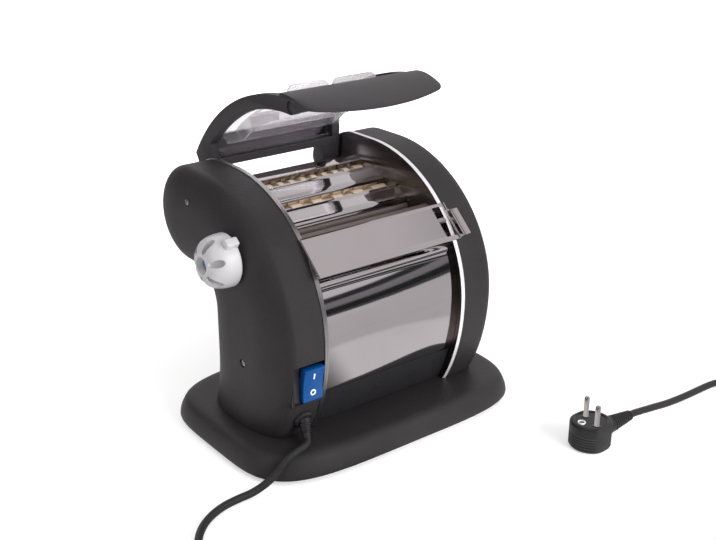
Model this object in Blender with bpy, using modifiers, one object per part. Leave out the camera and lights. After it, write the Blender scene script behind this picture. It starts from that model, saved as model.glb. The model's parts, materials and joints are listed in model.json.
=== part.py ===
import math

import bmesh
import bpy
from mathutils import Matrix, Vector

# Clearances
gap = 0.0003  # between pieces that seat on each other
overrun = 0.02  # how far a cutter reaches past what it cuts

# Base
base_half_length = 0.153
base_half_width = 0.1045
base_power = 4.4  # how square the bowed outline is
base_top = 0.025
base_underside = 0.004
base_wall = 0.003
base_steps = 44
skirt_heights = (0.004, 0.010, 0.0185, 0.0222, 0.0242, 0.025)
skirt_insets = (0, 0.0006, 0.0035, 0.0058, 0.0092, 0.014)
base_plate_thickness = 0.0015
foot_radius = 0.012
foot_inset_x = 0.045
foot_inset_y = 0.0305
foot_taper = 0.0015

# Side profile of plates and covers, in the YZ plane
front_centre_y = 0.060
front_centre_z = 0.1145
front_reach = 0.138
front_rise = 0.128
front_drop = 0.160
nose_y = 0.090
nose_z = 0.1965
nose_radius = 0.046
throat_y = 0.071
throat_radius = 0.028
back_straight_z = 0.080
back_flare = 0.010
flare_height = 0.056

# Side plates and covers
plate_inside = 0.077
plate_thickness = 0.0024
plate_proud = 0.0008
cover_wall = 0.0025
crown_start = 0.109
crown_depth = 0.0192
crown_inset = 0.042
crown_turn = math.radians(84)
crown_steps = 7

# Roller and cutter axes
nip_pitch = 0.0365
front_nip_y = -0.007
smooth_z = 0.1745
wide_z = 0.1926
narrow_z = 0.2032
gear_module = 0.00155
smooth_teeth = 14
cutter_teeth = 12
idler_teeth = 24
upper_idler_teeth = 18
drive_teeth = 40
smooth_gap = 0.0004
cutter_radius = 0.0103
narrow_strip = 0.0065
wide_strip = 0.012
disc_play = 0.0004
journal_radius = 0.004
journal_play = 0.0003
gear_thickness = 0.0055
plane_gap = 0.0006
gear_backlash = 0.0003
pressure_angle = math.radians(24)
addendum_share = 0.78
dedendum_share = 1.05
drive_y = -0.010
pinion_drop_y = -0.008
roller_end_play = 0.0006

# Front panel, apron and rear panel
sheet = 0.0012
panel_inset = 0.006
panel_bottom = 0.0645
panel_top = 0.166
panel_bend = 0.003
panel_flange = 0.011
apron_inset = 0.0085
apron_lap = 0.008
apron_thickness = 0.0022
rear_inset = 0.006
chute_front_y = -0.052
chute_front_z = 0.158
chute_back_y = 0.027
chute_back_z = 0.1295
rear_corner = 0.007

# Deck strips
deck_sheet = 0.001
rear_strip_line = ((0.0765, 0.2185), (0.0845, 0.2207), (0.0905, 0.2215), (0.0955, 0.2185), (0.097, 0.2125),
                   (0.097, 0.1975))
rear_bar_line = ((0.0395, 0.2055), (0.0402, 0.2078), (0.0435, 0.2102), (0.0555, 0.2148), (0.0572, 0.2172))
middle_bar_line = ((0.0035, 0.1925), (0.0040, 0.1972), (0.0075, 0.1998), (0.0195, 0.2040), (0.0213, 0.2062))
front_bar_line = ((-0.0395, 0.1935), (-0.0345, 0.1948), (-0.0225, 0.1948), (-0.0202, 0.1918))
comb_thickness = 0.0012
comb_start_angle = math.radians(-62)
comb_turn = math.radians(40)
comb_tail_back = 0.003
comb_tail_down = 0.006

# Feed tray
tray_top = (-0.0420, 0.2030)
tray_bottom = (-0.0710, 0.1765)
tray_sheet = 0.001
tray_left = -0.0805
tray_right = 0.0812
tray_wall = 0.0055
ear_reach = 0.0885
tray_rod_radius = 0.003
tray_rod_along = 0.016

# Lid
hinge_y = 0.122
hinge_z = 0.214
lid_outer_face = 0.0755
arm_thickness = 0.009
arm_rear_y = 0.0174  # from the hinge to the arms' rearmost corner
arm_rear_z = 0.0241
arm_outer_radius = 0.188
arm_depth = 0.013
arm_front_angle = math.radians(93)
arm_back_angle = math.radians(34)
arm_inner_back_angle = math.radians(43)
lug_radius = 0.009
lug_inner_face = 0.056
hinge_pin_radius = 0.003
crossbar_y = (0.110, 0.118)
crossbar_z = (0.229, 0.237)
visor_rear = (0.0085, 0.0005)  # from the top of the arms' circle
visor_tip = (-0.0315, -0.005)
visor_bow_y = -0.014
visor_bow_z = -0.004
visor_thickness = 0.004
visor_edge = 0.0022
visor_crown = 0.0025
visor_stations = 14
shield_thickness = 0.002
shield_drop = 0.0105
shield_back_angle = math.radians(38)
shield_front_angle = math.radians(86)
window_half_width = 0.046
window_back_angle = math.radians(58)
window_front_angle = math.radians(76)
guard_thickness = 0.0025
guard_height = 0.0165
guard_corner = 0.006
left_guard = (-0.0655, -0.0230)
right_guard = (-0.0180, 0.0290)

# Knob and roller adjustment, on the left
knob_y = -0.0035
knob_z = 0.185
knob_radius = 0.024
knob_base_x = -0.1287
knob_end_x = -0.151
knob_bore = 0.0032
knob_profile_shares = ((0.93, 0), (1, 0.10), (0.985, 0.45), (0.90, 0.66), (0.74, 0.84), (0.50, 0.96))
cap_radius = 0.0062
cap_thickness = 0.0016
shaft_radius = 0.003
cam_radius = 0.006
cam_throw = 0.001
cam_thickness = 0.004
cam_play = 0.0006
slide_front = 0.0165
slide_rear = 0.012
slide_top = 0.021
slide_bottom = 0.010
slide_thickness = 0.010
slide_play = 0.0003
grip_half_width = 0.004
grip_height = 0.0055
grip_length = 0.013
grip_angle = math.radians(38)
cap_flat_share = 0.7

# Motor
motor_radius = 0.027
motor_length = 0.078
motor_shoulder = 0.003
gearhead_radius = 0.029
gearhead_length = 0.030
motor_shaft_radius = 0.004

# Switch and cord gland, on the front of the left cover
switch_x = -0.0925
switch_z = 0.0830
rocker_width = 0.0215
rocker_height = 0.034
rocker_rise = 0.0072
rocker_back = 0.0035
rocker_tilt = math.radians(8)
rocker_front_shares = ((-1, -1), (-0.82, -0.4), (-0.76, 0), (-0.82, 0.4), (-1, 1))
rocker_back_shares = ((0.3, 0.94), (0.6, 0), (0.3, -0.94))
switch_body_depth = 0.016
recess_x = (-0.113, -0.0802)
recess_height = 0.040
recess_floor = 0.0045
gland_x = -0.0965
gland_z = 0.0445
gland_radius = 0.0092
gland_flange = 0.0030
gland_neck_radius = 0.0056
gland_barrel = 0.010
sleeve_length = 0.011
sleeve_tip_radius = 0.0042
sleeve_lean_shares = (-0.35, 0, -0.9)

# Cord and plug
cord_radius = 0.0034
cord_turn_gap = 0.0005
coil_radius = 0.041
coil_turns = 3.25
coil_climb_turns = 0.5
coil_points_per_turn = 24
coil_centre = (-0.208, -0.212)
cord_floor = cord_radius + 0.0001
plug_centre = (0.130, -0.201)
plug_radius = 0.0195
plug_height = 0.0265
plug_flat = 0.0165
plug_edge = 0.003
plug_neck_radius = 0.0078
plug_neck_length = 0.036
plug_neck_z = 0.0120
plug_tip_radius = 0.0046
pin_radius = 0.0024
pin_length = 0.019
pin_spacing = 0.019
pin_turn = math.radians(73)
pin_root = 0.004
earth_offset = 0.010
earth_hole_radius = 0.0027
earth_hole_depth = 0.012

# Route of the free cord, chosen by hand, from the gland to the coil
cord_route = (
    (-0.1000, -0.0795, 0.0300), (-0.1045, -0.0822, 0.0291), (-0.1120, -0.0845, 0.0291), (-0.1205, -0.0862, 0.0286),
    (-0.1300, -0.0872, 0.0250), (-0.1400, -0.0870, 0.0160), (-0.1510, -0.0860, 0.0090), (-0.1640, -0.0848, 0.0046),
    (-0.1780, -0.0842, 0.0036), (-0.1930, -0.0860, 0.0035), (-0.2080, -0.0915, 0.0035), (-0.2220, -0.1010, 0.0035),
    (-0.2340, -0.1150, 0.0035), (-0.2430, -0.1330, 0.0035), (-0.2480, -0.1530, 0.0035), (-0.2490, -0.1700, 0.0035),
)
# From the coil round the picture's corner to the plug
tail_route = (
    (-0.1850, -0.2535, 0.0112), (-0.1650, -0.2550, 0.0092), (-0.1450, -0.2590, 0.0055), (-0.1200, -0.2680, 0.0037),
    (-0.0900, -0.2820, 0.0035), (-0.0500, -0.3010, 0.0035), (0.0000, -0.3270, 0.0035), (0.0400, -0.3520, 0.0035),
    (0.0680, -0.3670, 0.0035), (0.0950, -0.3715, 0.0035), (0.1230, -0.3660, 0.0035), (0.1550, -0.3500, 0.0035),
    (0.2000, -0.3230, 0.0035), (0.2500, -0.2930, 0.0035), (0.2920, -0.2690, 0.0035), (0.3170, -0.2580, 0.0035),
    (0.3330, -0.2470, 0.0035), (0.3400, -0.2300, 0.0035), (0.3370, -0.2130, 0.0035), (0.3250, -0.2035, 0.0035),
    (0.3100, -0.2005, 0.0035), (0.2750, -0.2005, 0.0037), (0.2450, -0.2007, 0.0052), (0.2200, -0.2009, 0.0085),
)

# Derived places
arm_centre_y = hinge_y + arm_rear_y - arm_outer_radius * math.cos(arm_back_angle)
arm_centre_z = hinge_z + arm_rear_z - arm_outer_radius * math.sin(arm_back_angle)
arm_inner_radius = arm_outer_radius - arm_depth
arm_top = Vector((arm_centre_y, arm_centre_z + arm_outer_radius))
shield_radius = arm_outer_radius - shield_drop
left_plate_x = -plate_inside - plate_thickness
right_plate_x = plate_inside + plate_thickness
inner_width = 2 * (plate_inside - gap)
plate_foot = base_top + gap
smooth_pitch = gear_module * smooth_teeth / 2
cutter_pitch = gear_module * cutter_teeth / 2
idler_pitch = gear_module * idler_teeth / 2
upper_idler_pitch = gear_module * upper_idler_teeth / 2
drive_pitch = gear_module * drive_teeth / 2
smooth_radius = smooth_pitch - smooth_gap / 2
groove_radius = 2 * cutter_pitch - cutter_radius - disc_play
fixed_axis = (front_nip_y - smooth_pitch, smooth_z)
moving_axis = (front_nip_y + smooth_pitch, smooth_z)
wide_front_axis = (front_nip_y + nip_pitch - cutter_pitch, wide_z)
wide_rear_axis = (front_nip_y + nip_pitch + cutter_pitch, wide_z)
narrow_front_axis = (front_nip_y + 2 * nip_pitch - cutter_pitch, narrow_z)
narrow_rear_axis = (front_nip_y + 2 * nip_pitch + cutter_pitch, narrow_z)
inner_plane_x = right_plate_x + plane_gap
outer_plane_x = inner_plane_x + gear_thickness + plane_gap
outer_plane_end = outer_plane_x + gear_thickness


def third_point(first, second, first_arm, second_arm):
    """The lower corner of the triangle that two fixed points make with arms of these lengths."""
    across = Vector(second) - Vector(first)
    along = (first_arm ** 2 - second_arm ** 2 + across.length_squared) / (2 * across.length)
    off = math.sqrt(first_arm ** 2 - along ** 2)
    unit = across.normalized()
    below = Vector((unit.y, -unit.x))
    place = Vector(first) + along * unit + off * below
    return (place.x, place.y)


def drop_below(point, y, arm):
    """The point at this y that lies an arm's length below another."""
    return (y, point[1] - math.sqrt(arm ** 2 - (y - point[0]) ** 2))


drive_axis = drop_below(fixed_axis, drive_y, smooth_pitch + drive_pitch)
pinion_axis = drop_below(drive_axis, drive_axis[0] + pinion_drop_y, drive_pitch + cutter_pitch)
idler_axis = third_point(drive_axis, wide_rear_axis, drive_pitch + idler_pitch, cutter_pitch + idler_pitch)
upper_idler_axis = third_point(
    wide_rear_axis, narrow_rear_axis, cutter_pitch + upper_idler_pitch, cutter_pitch + upper_idler_pitch
)

# Finishes: colour, roughness, metallic, alpha
finishes = {
    "black_shell": ((0.045, 0.041, 0.043), 0.55, 0, 1),
    "black_gloss": ((0.02, 0.02, 0.022), 0.30, 0, 1),
    "chrome": ((0.80, 0.79, 0.80), 0.08, 1, 1),
    "steel": ((0.62, 0.62, 0.64), 0.30, 1, 1),
    "bronze_coating": ((0.56, 0.42, 0.28), 0.35, 1, 1),
    "rubber": ((0.02, 0.02, 0.02), 0.85, 0, 1),
    "blue_rocker": ((0.02, 0.17, 0.50), 0.22, 0, 1),
    "blue_cap": ((0.10, 0.13, 0.24), 0.35, 0, 1),
    "satin_silver": ((0.70, 0.70, 0.72), 0.32, 1, 1),
    "smoke_clear": ((0.55, 0.52, 0.56), 0.08, 0, 0.35),
    "gear_nylon": ((0.72, 0.70, 0.64), 0.50, 0, 1),
    "motor_steel": ((0.45, 0.45, 0.47), 0.40, 1, 1),
    "cord_black": ((0.018, 0.018, 0.018), 0.45, 0, 1),
    "nickel": ((0.72, 0.70, 0.66), 0.18, 1, 1),
}

for old in list(bpy.data.objects):
    bpy.data.objects.remove(old)

machine = bpy.data.collections.new("electric_pasta_maker")
cutters = bpy.data.collections.new("pasta_maker_cutters")
bpy.context.scene.collection.children.link(machine)
bpy.context.scene.collection.children.link(cutters)
machine_frame = bpy.data.objects.new("machine_frame", None)
machine.objects.link(machine_frame)

# Local X, Y and Z of a flat outline become world Y, Z and X
across_machine = Matrix(((0, 0, 1, 0), (1, 0, 0, 0), (0, 1, 0, 0), (0, 0, 0, 1)))


def finish_of(name):
    """The material of a finish, made once."""
    if name in bpy.data.materials:
        return bpy.data.materials[name]
    colour, roughness, metallic, alpha = finishes[name]
    made = bpy.data.materials.new(name)
    made.use_nodes = True
    shader = made.node_tree.nodes["Principled BSDF"]
    shader.inputs["Base Color"].default_value = (*colour, 1)
    shader.inputs["Roughness"].default_value = roughness
    shader.inputs["Metallic"].default_value = metallic
    shader.inputs["Alpha"].default_value = alpha
    made.diffuse_color = (*colour, alpha)
    return made


def add_piece(name, mesh, finish, place=Matrix.Identity(4)):
    """A sub-part of the machine; a piece without a finish is a cutter."""
    piece = bpy.data.objects.new(name, mesh)
    piece.matrix_world = place
    if finish:
        machine.objects.link(piece)
        mesh.materials.append(finish_of(finish))
        piece.parent = machine_frame
    else:
        cutters.objects.link(piece)
        piece.display_type = "WIRE"
        piece.hide_render = True
        piece.parent = machine_frame
    return piece


def mesh_from(bm, name):
    mesh = bpy.data.meshes.new(name)
    bm.to_mesh(mesh)
    bm.free()
    return mesh


def set_origin(piece, point):
    """Moves a piece's origin to a point on its joint's axis and leaves the shape where it is."""
    shift = Vector(point) - piece.location
    piece.data.transform(Matrix.Translation(-(piece.matrix_basis.to_3x3().inverted() @ shift)))
    piece.location = Vector(point)


def loft(name, rings, finish):
    """A closed body through rings of points of equal count, with flat ends."""
    bm = bmesh.new()
    loops = [[bm.verts.new(point) for point in ring] for ring in rings]
    for first, second in zip(loops, loops[1:]):
        for i in range(len(first)):
            j = (i + 1) % len(first)
            bm.faces.new((first[i], first[j], second[j], second[i]))
    bm.faces.new(list(reversed(loops[0])))
    bm.faces.new(loops[-1])
    bmesh.ops.recalc_face_normals(bm, faces=bm.faces)
    return add_piece(name, mesh_from(bm, name), finish)


def block(name, low, high, finish):
    """A box between two corners."""
    bm = bmesh.new()
    bmesh.ops.create_cube(bm, size=1)
    low, high = Vector(low), Vector(high)
    bmesh.ops.scale(bm, vec=high - low, verts=bm.verts)
    bmesh.ops.translate(bm, vec=(low + high) / 2, verts=bm.verts)
    return add_piece(name, mesh_from(bm, name), finish)


def flat(name, outline, holes, thickness, finish, place):
    """A flat outline with holes, given as (y, z) points about its place, with its thickness along X."""
    curve = bpy.data.curves.new(name, "CURVE")
    curve.dimensions = "2D"
    curve.fill_mode = "BOTH"
    curve.extrude = thickness / 2
    for loop in (outline, *holes):
        spline = curve.splines.new("POLY")
        spline.points.add(len(loop) - 1)
        for point, (y, z) in zip(spline.points, loop):
            point.co = (y, z, 0, 1)
        spline.use_cyclic_u = True
    return as_mesh(name, curve, finish, Matrix.Translation(place) @ across_machine)


def as_mesh(name, curve, finish, place):
    """A curve made a mesh with its caps welded on."""
    drawn = bpy.data.objects.new(name + "_curve", curve)
    bpy.context.scene.collection.objects.link(drawn)
    mesh = bpy.data.meshes.new_from_object(drawn.evaluated_get(bpy.context.evaluated_depsgraph_get()))
    bpy.data.objects.remove(drawn)
    bm = bmesh.new()
    bm.from_mesh(mesh)
    bmesh.ops.remove_doubles(bm, verts=bm.verts, dist=gap / 100)
    bmesh.ops.recalc_face_normals(bm, faces=bm.faces)
    bm.to_mesh(mesh)
    bm.free()
    mesh.materials.clear()
    return add_piece(name, mesh, finish, place)


def folded(name, line, half_width, thickness, finish, centre_x=0):
    """A sheet folded along a line of (y, z) points, its width along X."""
    bm = bmesh.new()
    row = [bm.verts.new((centre_x - half_width, y, z)) for y, z in line]
    edges = [bm.edges.new(pair) for pair in zip(row, row[1:])]
    wide = bmesh.ops.extrude_edge_only(bm, edges=edges)["geom"]
    new_points = [item for item in wide if isinstance(item, bmesh.types.BMVert)]
    bmesh.ops.translate(bm, vec=(2 * half_width, 0, 0), verts=new_points)
    bmesh.ops.recalc_face_normals(bm, faces=bm.faces)
    piece = add_piece(name, mesh_from(bm, name), finish)
    wall = piece.modifiers.new("wall", "SOLIDIFY")
    wall.thickness = thickness
    wall.offset = 0
    wall.use_even_offset = True
    return piece


def turned(name, profile, finish, place, steps=24, axis="X"):
    """A turned shape; its profile lists (radius, distance along the axis) from the far end back."""
    bm = bmesh.new()
    closed = profile[0] == profile[-1]
    row = [bm.verts.new((radius, 0, along)) for radius, along in profile[closed:]]
    for pair in zip(row, row[1:]):
        bm.edges.new(pair)
    if closed:
        bm.edges.new((row[-1], row[0]))
    turn = Matrix.Rotation(math.pi / 2, 4, "Y") if axis == "X" else Matrix.Identity(4)
    piece = add_piece(name, mesh_from(bm, name), finish, Matrix.Translation(place) @ turn)
    screw = piece.modifiers.new("turn", "SCREW")
    screw.steps = steps
    screw.render_steps = steps
    screw.use_merge_vertices = True
    screw.merge_threshold = gap / 100
    screw.use_smooth_shade = True
    return piece


def cut(piece, cutter, how="DIFFERENCE"):
    """A Boolean of a piece with a cutter, or with a shape to be joined to it."""
    change = piece.modifiers.new(how.lower(), "BOOLEAN")
    change.operation = how
    change.object = cutter
    return piece


def ring_of(radius, steps, y=0, z=0):
    """Points of a circle in (y, z)."""
    return [
        (y + radius * math.cos(2 * math.pi * i / steps), z + radius * math.sin(2 * math.pi * i / steps))
        for i in range(steps)
    ]


def arc(centre, radius, start, end, steps):
    """Points of an arc in (y, z), its angles measured from +Y towards +Z."""
    return [
        (
            centre[0] + radius * math.cos(start + (end - start) * i / steps),
            centre[1] + radius * math.sin(start + (end - start) * i / steps),
        )
        for i in range(steps + 1)
    ]


def oblong(radius, travel, steps):
    """A slot of this radius that lets a journal travel along Y."""
    right = arc((travel, 0), radius, -math.pi / 2, math.pi / 2, steps)
    left = arc((0, 0), radius, math.pi / 2, 3 * math.pi / 2, steps)
    return right + left


def front_at(z):
    """The y of the side profile's front at a height."""
    rise = front_rise if z > front_centre_z else front_drop
    share = (z - front_centre_z) / rise
    return front_centre_y - front_reach * math.sqrt(1 - share * share)


def back_at(z):
    """The y of the side profile's back wall at a height below the throat."""
    wall_y = throat_y - throat_radius
    if z >= back_straight_z:
        return wall_y
    return wall_y + back_flare * ((back_straight_z - z) / flare_height) ** 2


def side_profile(foot, inset=0, front_steps=9):
    """The outline of plates and covers from the front foot over the top to the back foot, as (y, z)."""
    top_z = nose_z + nose_radius
    throat_z = nose_z - nose_radius - throat_radius
    points = []
    for i in range(front_steps):
        z = foot + (front_centre_z - foot) * i / front_steps
        points.append((front_at(z), z))
    for i in range(front_steps + 2):
        turn = math.pi / 2 * i / (front_steps + 1)
        points.append(
            (front_centre_y - front_reach * math.cos(turn), front_centre_z + (top_z - front_centre_z) * math.sin(turn))
        )
    points += arc((nose_y, nose_z), nose_radius, math.pi / 2, -math.pi / 2, front_steps)
    points += arc((throat_y, throat_z), throat_radius, math.pi / 2, math.pi, 5)
    low_steps = 5
    for i in range(low_steps + 1):
        z = back_straight_z + (foot - back_straight_z) * i / low_steps
        points.append((back_at(z), z))
    if not inset:
        return points
    moved = []
    for i, point in enumerate(points):
        before = points[max(i - 1, 0)]
        after = points[min(i + 1, len(points) - 1)]
        along = Vector((after[0] - before[0], after[1] - before[1])).normalized()
        moved.append((point[0] + along.y * inset, point[1] - along.x * inset))
    return moved


def base_outline(inset):
    """The bowed outline of the base, as (x, y)."""
    points = []
    for i in range(base_steps):
        turn = 2 * math.pi * i / base_steps
        c, s = math.cos(turn), math.sin(turn)
        points.append(
            (
                (base_half_length - inset) * math.copysign(abs(c) ** (2 / base_power), c),
                (base_half_width - inset) * math.copysign(abs(s) ** (2 / base_power), s),
            )
        )
    return points


def make_base():
    outer = [
        [(x, y, height) for x, y in base_outline(inset)] for height, inset in zip(skirt_heights, skirt_insets)
    ]
    inner = [
        [(x, y, max(height - base_wall, base_underside)) for x, y in base_outline(inset + base_wall)]
        for height, inset in zip(skirt_heights, skirt_insets)
        if height - base_wall > base_underside
    ]
    lip = [[(x, y, base_underside) for x, y in base_outline(base_wall)]]
    loft("base_shell", list(reversed(outer)) + lip + inner, "black_shell")
    low = base_underside + gap
    plate_rings = [
        [(x, y, height) for x, y in base_outline(base_wall + 2 * gap)] for height in (low, low + base_plate_thickness)
    ]
    loft("base_plate", plate_rings, "steel")
    foot_top = base_underside
    profile = (
        (0, foot_top),
        (foot_radius, foot_top),
        (foot_radius - foot_taper, 0),
        (0, 0),
    )
    foot_x = base_half_length - foot_inset_x
    foot_y = base_half_width - foot_inset_y
    for side, x in (("left", -foot_x), ("right", foot_x)):
        for end, y in (("front", -foot_y), ("rear", foot_y)):
            turned(f"foot_{end}_{side}", profile, "rubber", (x, y, 0), 18, axis="Z")


def side_plate(name, x, holes):
    outline = side_profile(plate_foot, -plate_proud)
    outline[0] = (outline[0][0], plate_foot)
    outline[-1] = (outline[-1][0], plate_foot)
    return flat(name, outline, holes, plate_thickness, "chrome", (x, 0, 0))


def make_plates():
    hole = journal_radius + journal_play
    turning = (fixed_axis, wide_front_axis, wide_rear_axis, narrow_front_axis, narrow_rear_axis)
    journals = [ring_of(hole, 12, *axis) for axis in turning]
    slot = [(y + moving_axis[0], z + moving_axis[1]) for y, z in oblong(hole, 2 * cam_throw, 6)]
    pins = [ring_of(hinge_pin_radius + journal_play, 10, hinge_y, hinge_z)]
    spindles = [ring_of(hole, 12, *axis) for axis in (drive_axis, idler_axis, upper_idler_axis, pinion_axis)]
    centre = plate_inside + plate_thickness / 2
    side_plate("left_side_plate", -centre, journals + [slot] + pins)
    side_plate("right_side_plate", centre, journals + [slot] + pins + spindles)


def cover_rings(side, foot):
    """Rings of a cover's hollow shell, from the plate out over the crown and back inside."""
    start = right_plate_x + gap
    outer = [[(side * start, y, z) for y, z in side_profile(foot)]]
    inner = []
    for i in range(crown_steps + 1):
        turn = crown_turn * i / crown_steps
        inset = crown_inset * (1 - math.cos(turn))
        x = crown_start + crown_depth * math.sin(turn)
        outer.append([(side * x, y, z) for y, z in side_profile(foot, inset)])
        inner.append([(side * (x - cover_wall), y, z) for y, z in side_profile(foot, inset + cover_wall)])
    rim = [[(side * start, y, z) for y, z in side_profile(foot, cover_wall)]]
    return rim + inner, outer


def make_cover(name, side):
    inner, outer = cover_rings(side, -overrun)
    bm = bmesh.new()
    shells = []
    for rings in (inner, outer):
        loops = [[bm.verts.new(point) for point in ring] for ring in rings]
        for first, second in zip(loops, loops[1:]):
            for i in range(len(first)):
                j = (i + 1) % len(first)
                bm.faces.new((first[i], first[j], second[j], second[i]))
        bm.faces.new(loops[-1])
        shells.append(loops[0])
    for i in range(len(shells[0])):
        j = (i + 1) % len(shells[0])
        bm.faces.new((shells[0][i], shells[0][j], shells[1][j], shells[1][i]))
    everything = bm.verts[:] + bm.edges[:] + bm.faces[:]
    sliced = bmesh.ops.bisect_plane(
        bm, geom=everything, plane_co=(0, 0, plate_foot), plane_no=(0, 0, 1), clear_inner=True
    )
    rim = [item for item in sliced["geom_cut"] if isinstance(item, bmesh.types.BMEdge)]
    bmesh.ops.edgeloop_fill(bm, edges=rim)
    bmesh.ops.recalc_face_normals(bm, faces=bm.faces)
    return add_piece(name, mesh_from(bm, name), "black_shell")


def rod_cutter(name, radius, x_range, centre):
    """A round cutter along X."""
    near, far = x_range
    profile = ((0, far), (radius, far), (radius, near), (0, near))
    return turned(name, profile, None, (0, *centre), 16)


def make_covers():
    left = make_cover("left_cover", -1)
    make_cover("right_cover", 1)
    shaft_hole = rod_cutter(
        "knob_shaft_cutter", shaft_radius + 2 * journal_play, (knob_end_x, left_plate_x - gap), (knob_y, knob_z)
    )
    cut(left, shaft_hole)
    half_height = recess_height / 2
    face_y = front_at(switch_z)
    recess = block(
        "switch_cutter",
        (recess_x[0], face_y - overrun, switch_z - half_height),
        (recess_x[1], face_y + overrun, switch_z + half_height),
        None,
    )
    cut(left, recess)
    place, turn = gland_frame()
    hole = turned(
        "gland_cutter",
        (
            (0, overrun),
            (gland_neck_radius + gap, overrun),
            (gland_neck_radius + gap, -overrun),
            (0, -overrun),
        ),
        None,
        place,
        16,
        axis="Z",
    )
    hole.matrix_world = Matrix.Translation(place) @ turn
    cut(left, hole)


def gland_frame():
    """The gland's place on the cover's face, and the turn that points +Z out of the face."""
    y = front_at(gland_z)
    normal = Vector(
        (0, (y - front_centre_y) / front_reach ** 2, (gland_z - front_centre_z) / front_drop ** 2)
    ).normalized()
    return Vector((gland_x, y, gland_z)), normal.to_track_quat("Z", "X").to_matrix().to_4x4()


def make_panels():
    half = inner_width / 2
    steps = 9
    line = []
    for i in range(steps + 1):
        z = panel_bottom + (panel_top - panel_bottom) * i / steps
        line.append((front_at(z) + panel_inset, z))
    bend_y = line[-1][0] + panel_bend
    line += arc((bend_y + panel_bend / 2, panel_top), panel_bend * 1.5, math.pi, math.pi / 2, 4)[1:]
    line.append((line[-1][0] + panel_flange, line[-1][1]))
    folded("front_panel", line, half, sheet, "chrome")
    apron = []
    steps = 6
    top = panel_bottom + apron_lap
    foot = plate_foot + apron_thickness / 4
    for i in range(steps + 1):
        z = foot + (top - foot) * i / steps
        apron.append((front_at(z) + apron_inset - (apron_inset - panel_inset) / 2 * (1 - i / steps), z))
    folded("lower_apron", apron, half, apron_thickness, "black_gloss")
    back = throat_y - throat_radius - rear_inset
    line = [(chute_front_y, chute_front_z), (chute_back_y, chute_back_z)]
    line += arc((back - rear_corner, chute_back_z - 2 * rear_corner), rear_corner, math.pi / 3, 0, 3)
    steps = 5
    foot = plate_foot + sheet / 4
    for i in range(steps + 1):
        z = back_straight_z + (foot - back_straight_z) * i / steps
        line.append((back_at(z) - rear_inset, z))
    folded("rear_panel", line, half, sheet, "chrome")


def make_deck():
    half = inner_width / 2
    folded("rear_strip", rear_strip_line, half, deck_sheet, "chrome")
    folded("guide_bar_rear", rear_bar_line, half, deck_sheet, "chrome")
    folded("guide_bar_middle", middle_bar_line, half, deck_sheet, "chrome")
    folded("guide_bar_front", front_bar_line, half, deck_sheet, "chrome")
    along = (Vector(tray_bottom) - Vector(tray_top)).normalized()
    inward = Vector((-along.y, along.x))
    centre = Vector(tray_top) + along * tray_rod_along + inward * (tray_sheet / 2 + tray_rod_radius + gap)
    reach = inner_width / 2
    profile = ((0, reach), (tray_rod_radius, reach), (tray_rod_radius, -reach), (0, -reach))
    turned("tray_rod", profile, "steel", (0, centre.x, centre.y), 14)


def tray_frame():
    """The tray's own axes: X across, Y down the slope, Z out of it."""
    down = Vector((0, tray_bottom[0] - tray_top[0], tray_bottom[1] - tray_top[1])).normalized()
    out = Vector((1, 0, 0)).cross(down)
    if out.y > 0:
        out = -out
    return down, out


def make_tray():
    down, out = tray_frame()
    length = (Vector(tray_bottom) - Vector(tray_top)).length
    section = (
        (tray_left - tray_sheet, tray_wall / 3),
        (tray_left, 0),
        (tray_right, 0),
        (tray_right + tray_sheet, tray_wall),
        (ear_reach, tray_wall + tray_sheet),
    )
    bm = bmesh.new()
    start = Vector((0, *tray_top))
    row = [bm.verts.new(start + Vector((x, 0, 0)) + out * lift) for x, lift in section]
    edges = [bm.edges.new(pair) for pair in zip(row, row[1:])]
    grown = bmesh.ops.extrude_edge_only(bm, edges=edges)["geom"]
    points = [item for item in grown if isinstance(item, bmesh.types.BMVert)]
    bmesh.ops.translate(bm, vec=down * length, verts=points)
    bmesh.ops.recalc_face_normals(bm, faces=bm.faces)
    tray = add_piece("feed_tray", mesh_from(bm, "feed_tray"), "chrome")
    wall = tray.modifiers.new("wall", "SOLIDIFY")
    wall.thickness = tray_sheet
    wall.offset = 0
    wall.use_even_offset = True


def make_smooth_roller(name, axis, left_end, right_end):
    body = plate_inside - roller_end_play
    profile = (
        (0, right_end),
        (journal_radius, right_end),
        (journal_radius, body),
        (smooth_radius, body),
        (smooth_radius, -body),
        (journal_radius, -body),
        (journal_radius, left_end),
        (0, left_end),
    )
    turned(name, profile, "bronze_coating", (0, *axis), 28)


def make_cutter(name, axis, strip, first_disc, right_end):
    """A grooved cutter roller; its partner's discs turn in its grooves."""
    body = plate_inside - roller_end_play
    left_end = left_plate_x - gap
    count = int(body / strip)
    start = -count * strip
    profile = [(0, left_end), (journal_radius, left_end), (journal_radius, -body)]
    for i in range(2 * count):
        near = start + i * strip
        far = near + strip
        if (i + first_disc) % 2:
            radius = groove_radius
            near_edge, far_edge = near, far
        else:
            radius = cutter_radius
            near_edge, far_edge = near + disc_play / 2, far - disc_play / 2
        if i == 0:
            near_edge = -body
        if i == 2 * count - 1:
            far_edge = body
        if radius == groove_radius:
            near_edge -= disc_play / 2 if i else 0
            far_edge += disc_play / 2 if i < 2 * count - 1 else 0
        profile += [(radius, near_edge), (radius, far_edge)]
    profile += [(journal_radius, body), (journal_radius, right_end), (0, right_end)]
    turned(name, list(reversed(profile)), "bronze_coating", (0, *axis), 16)


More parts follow.
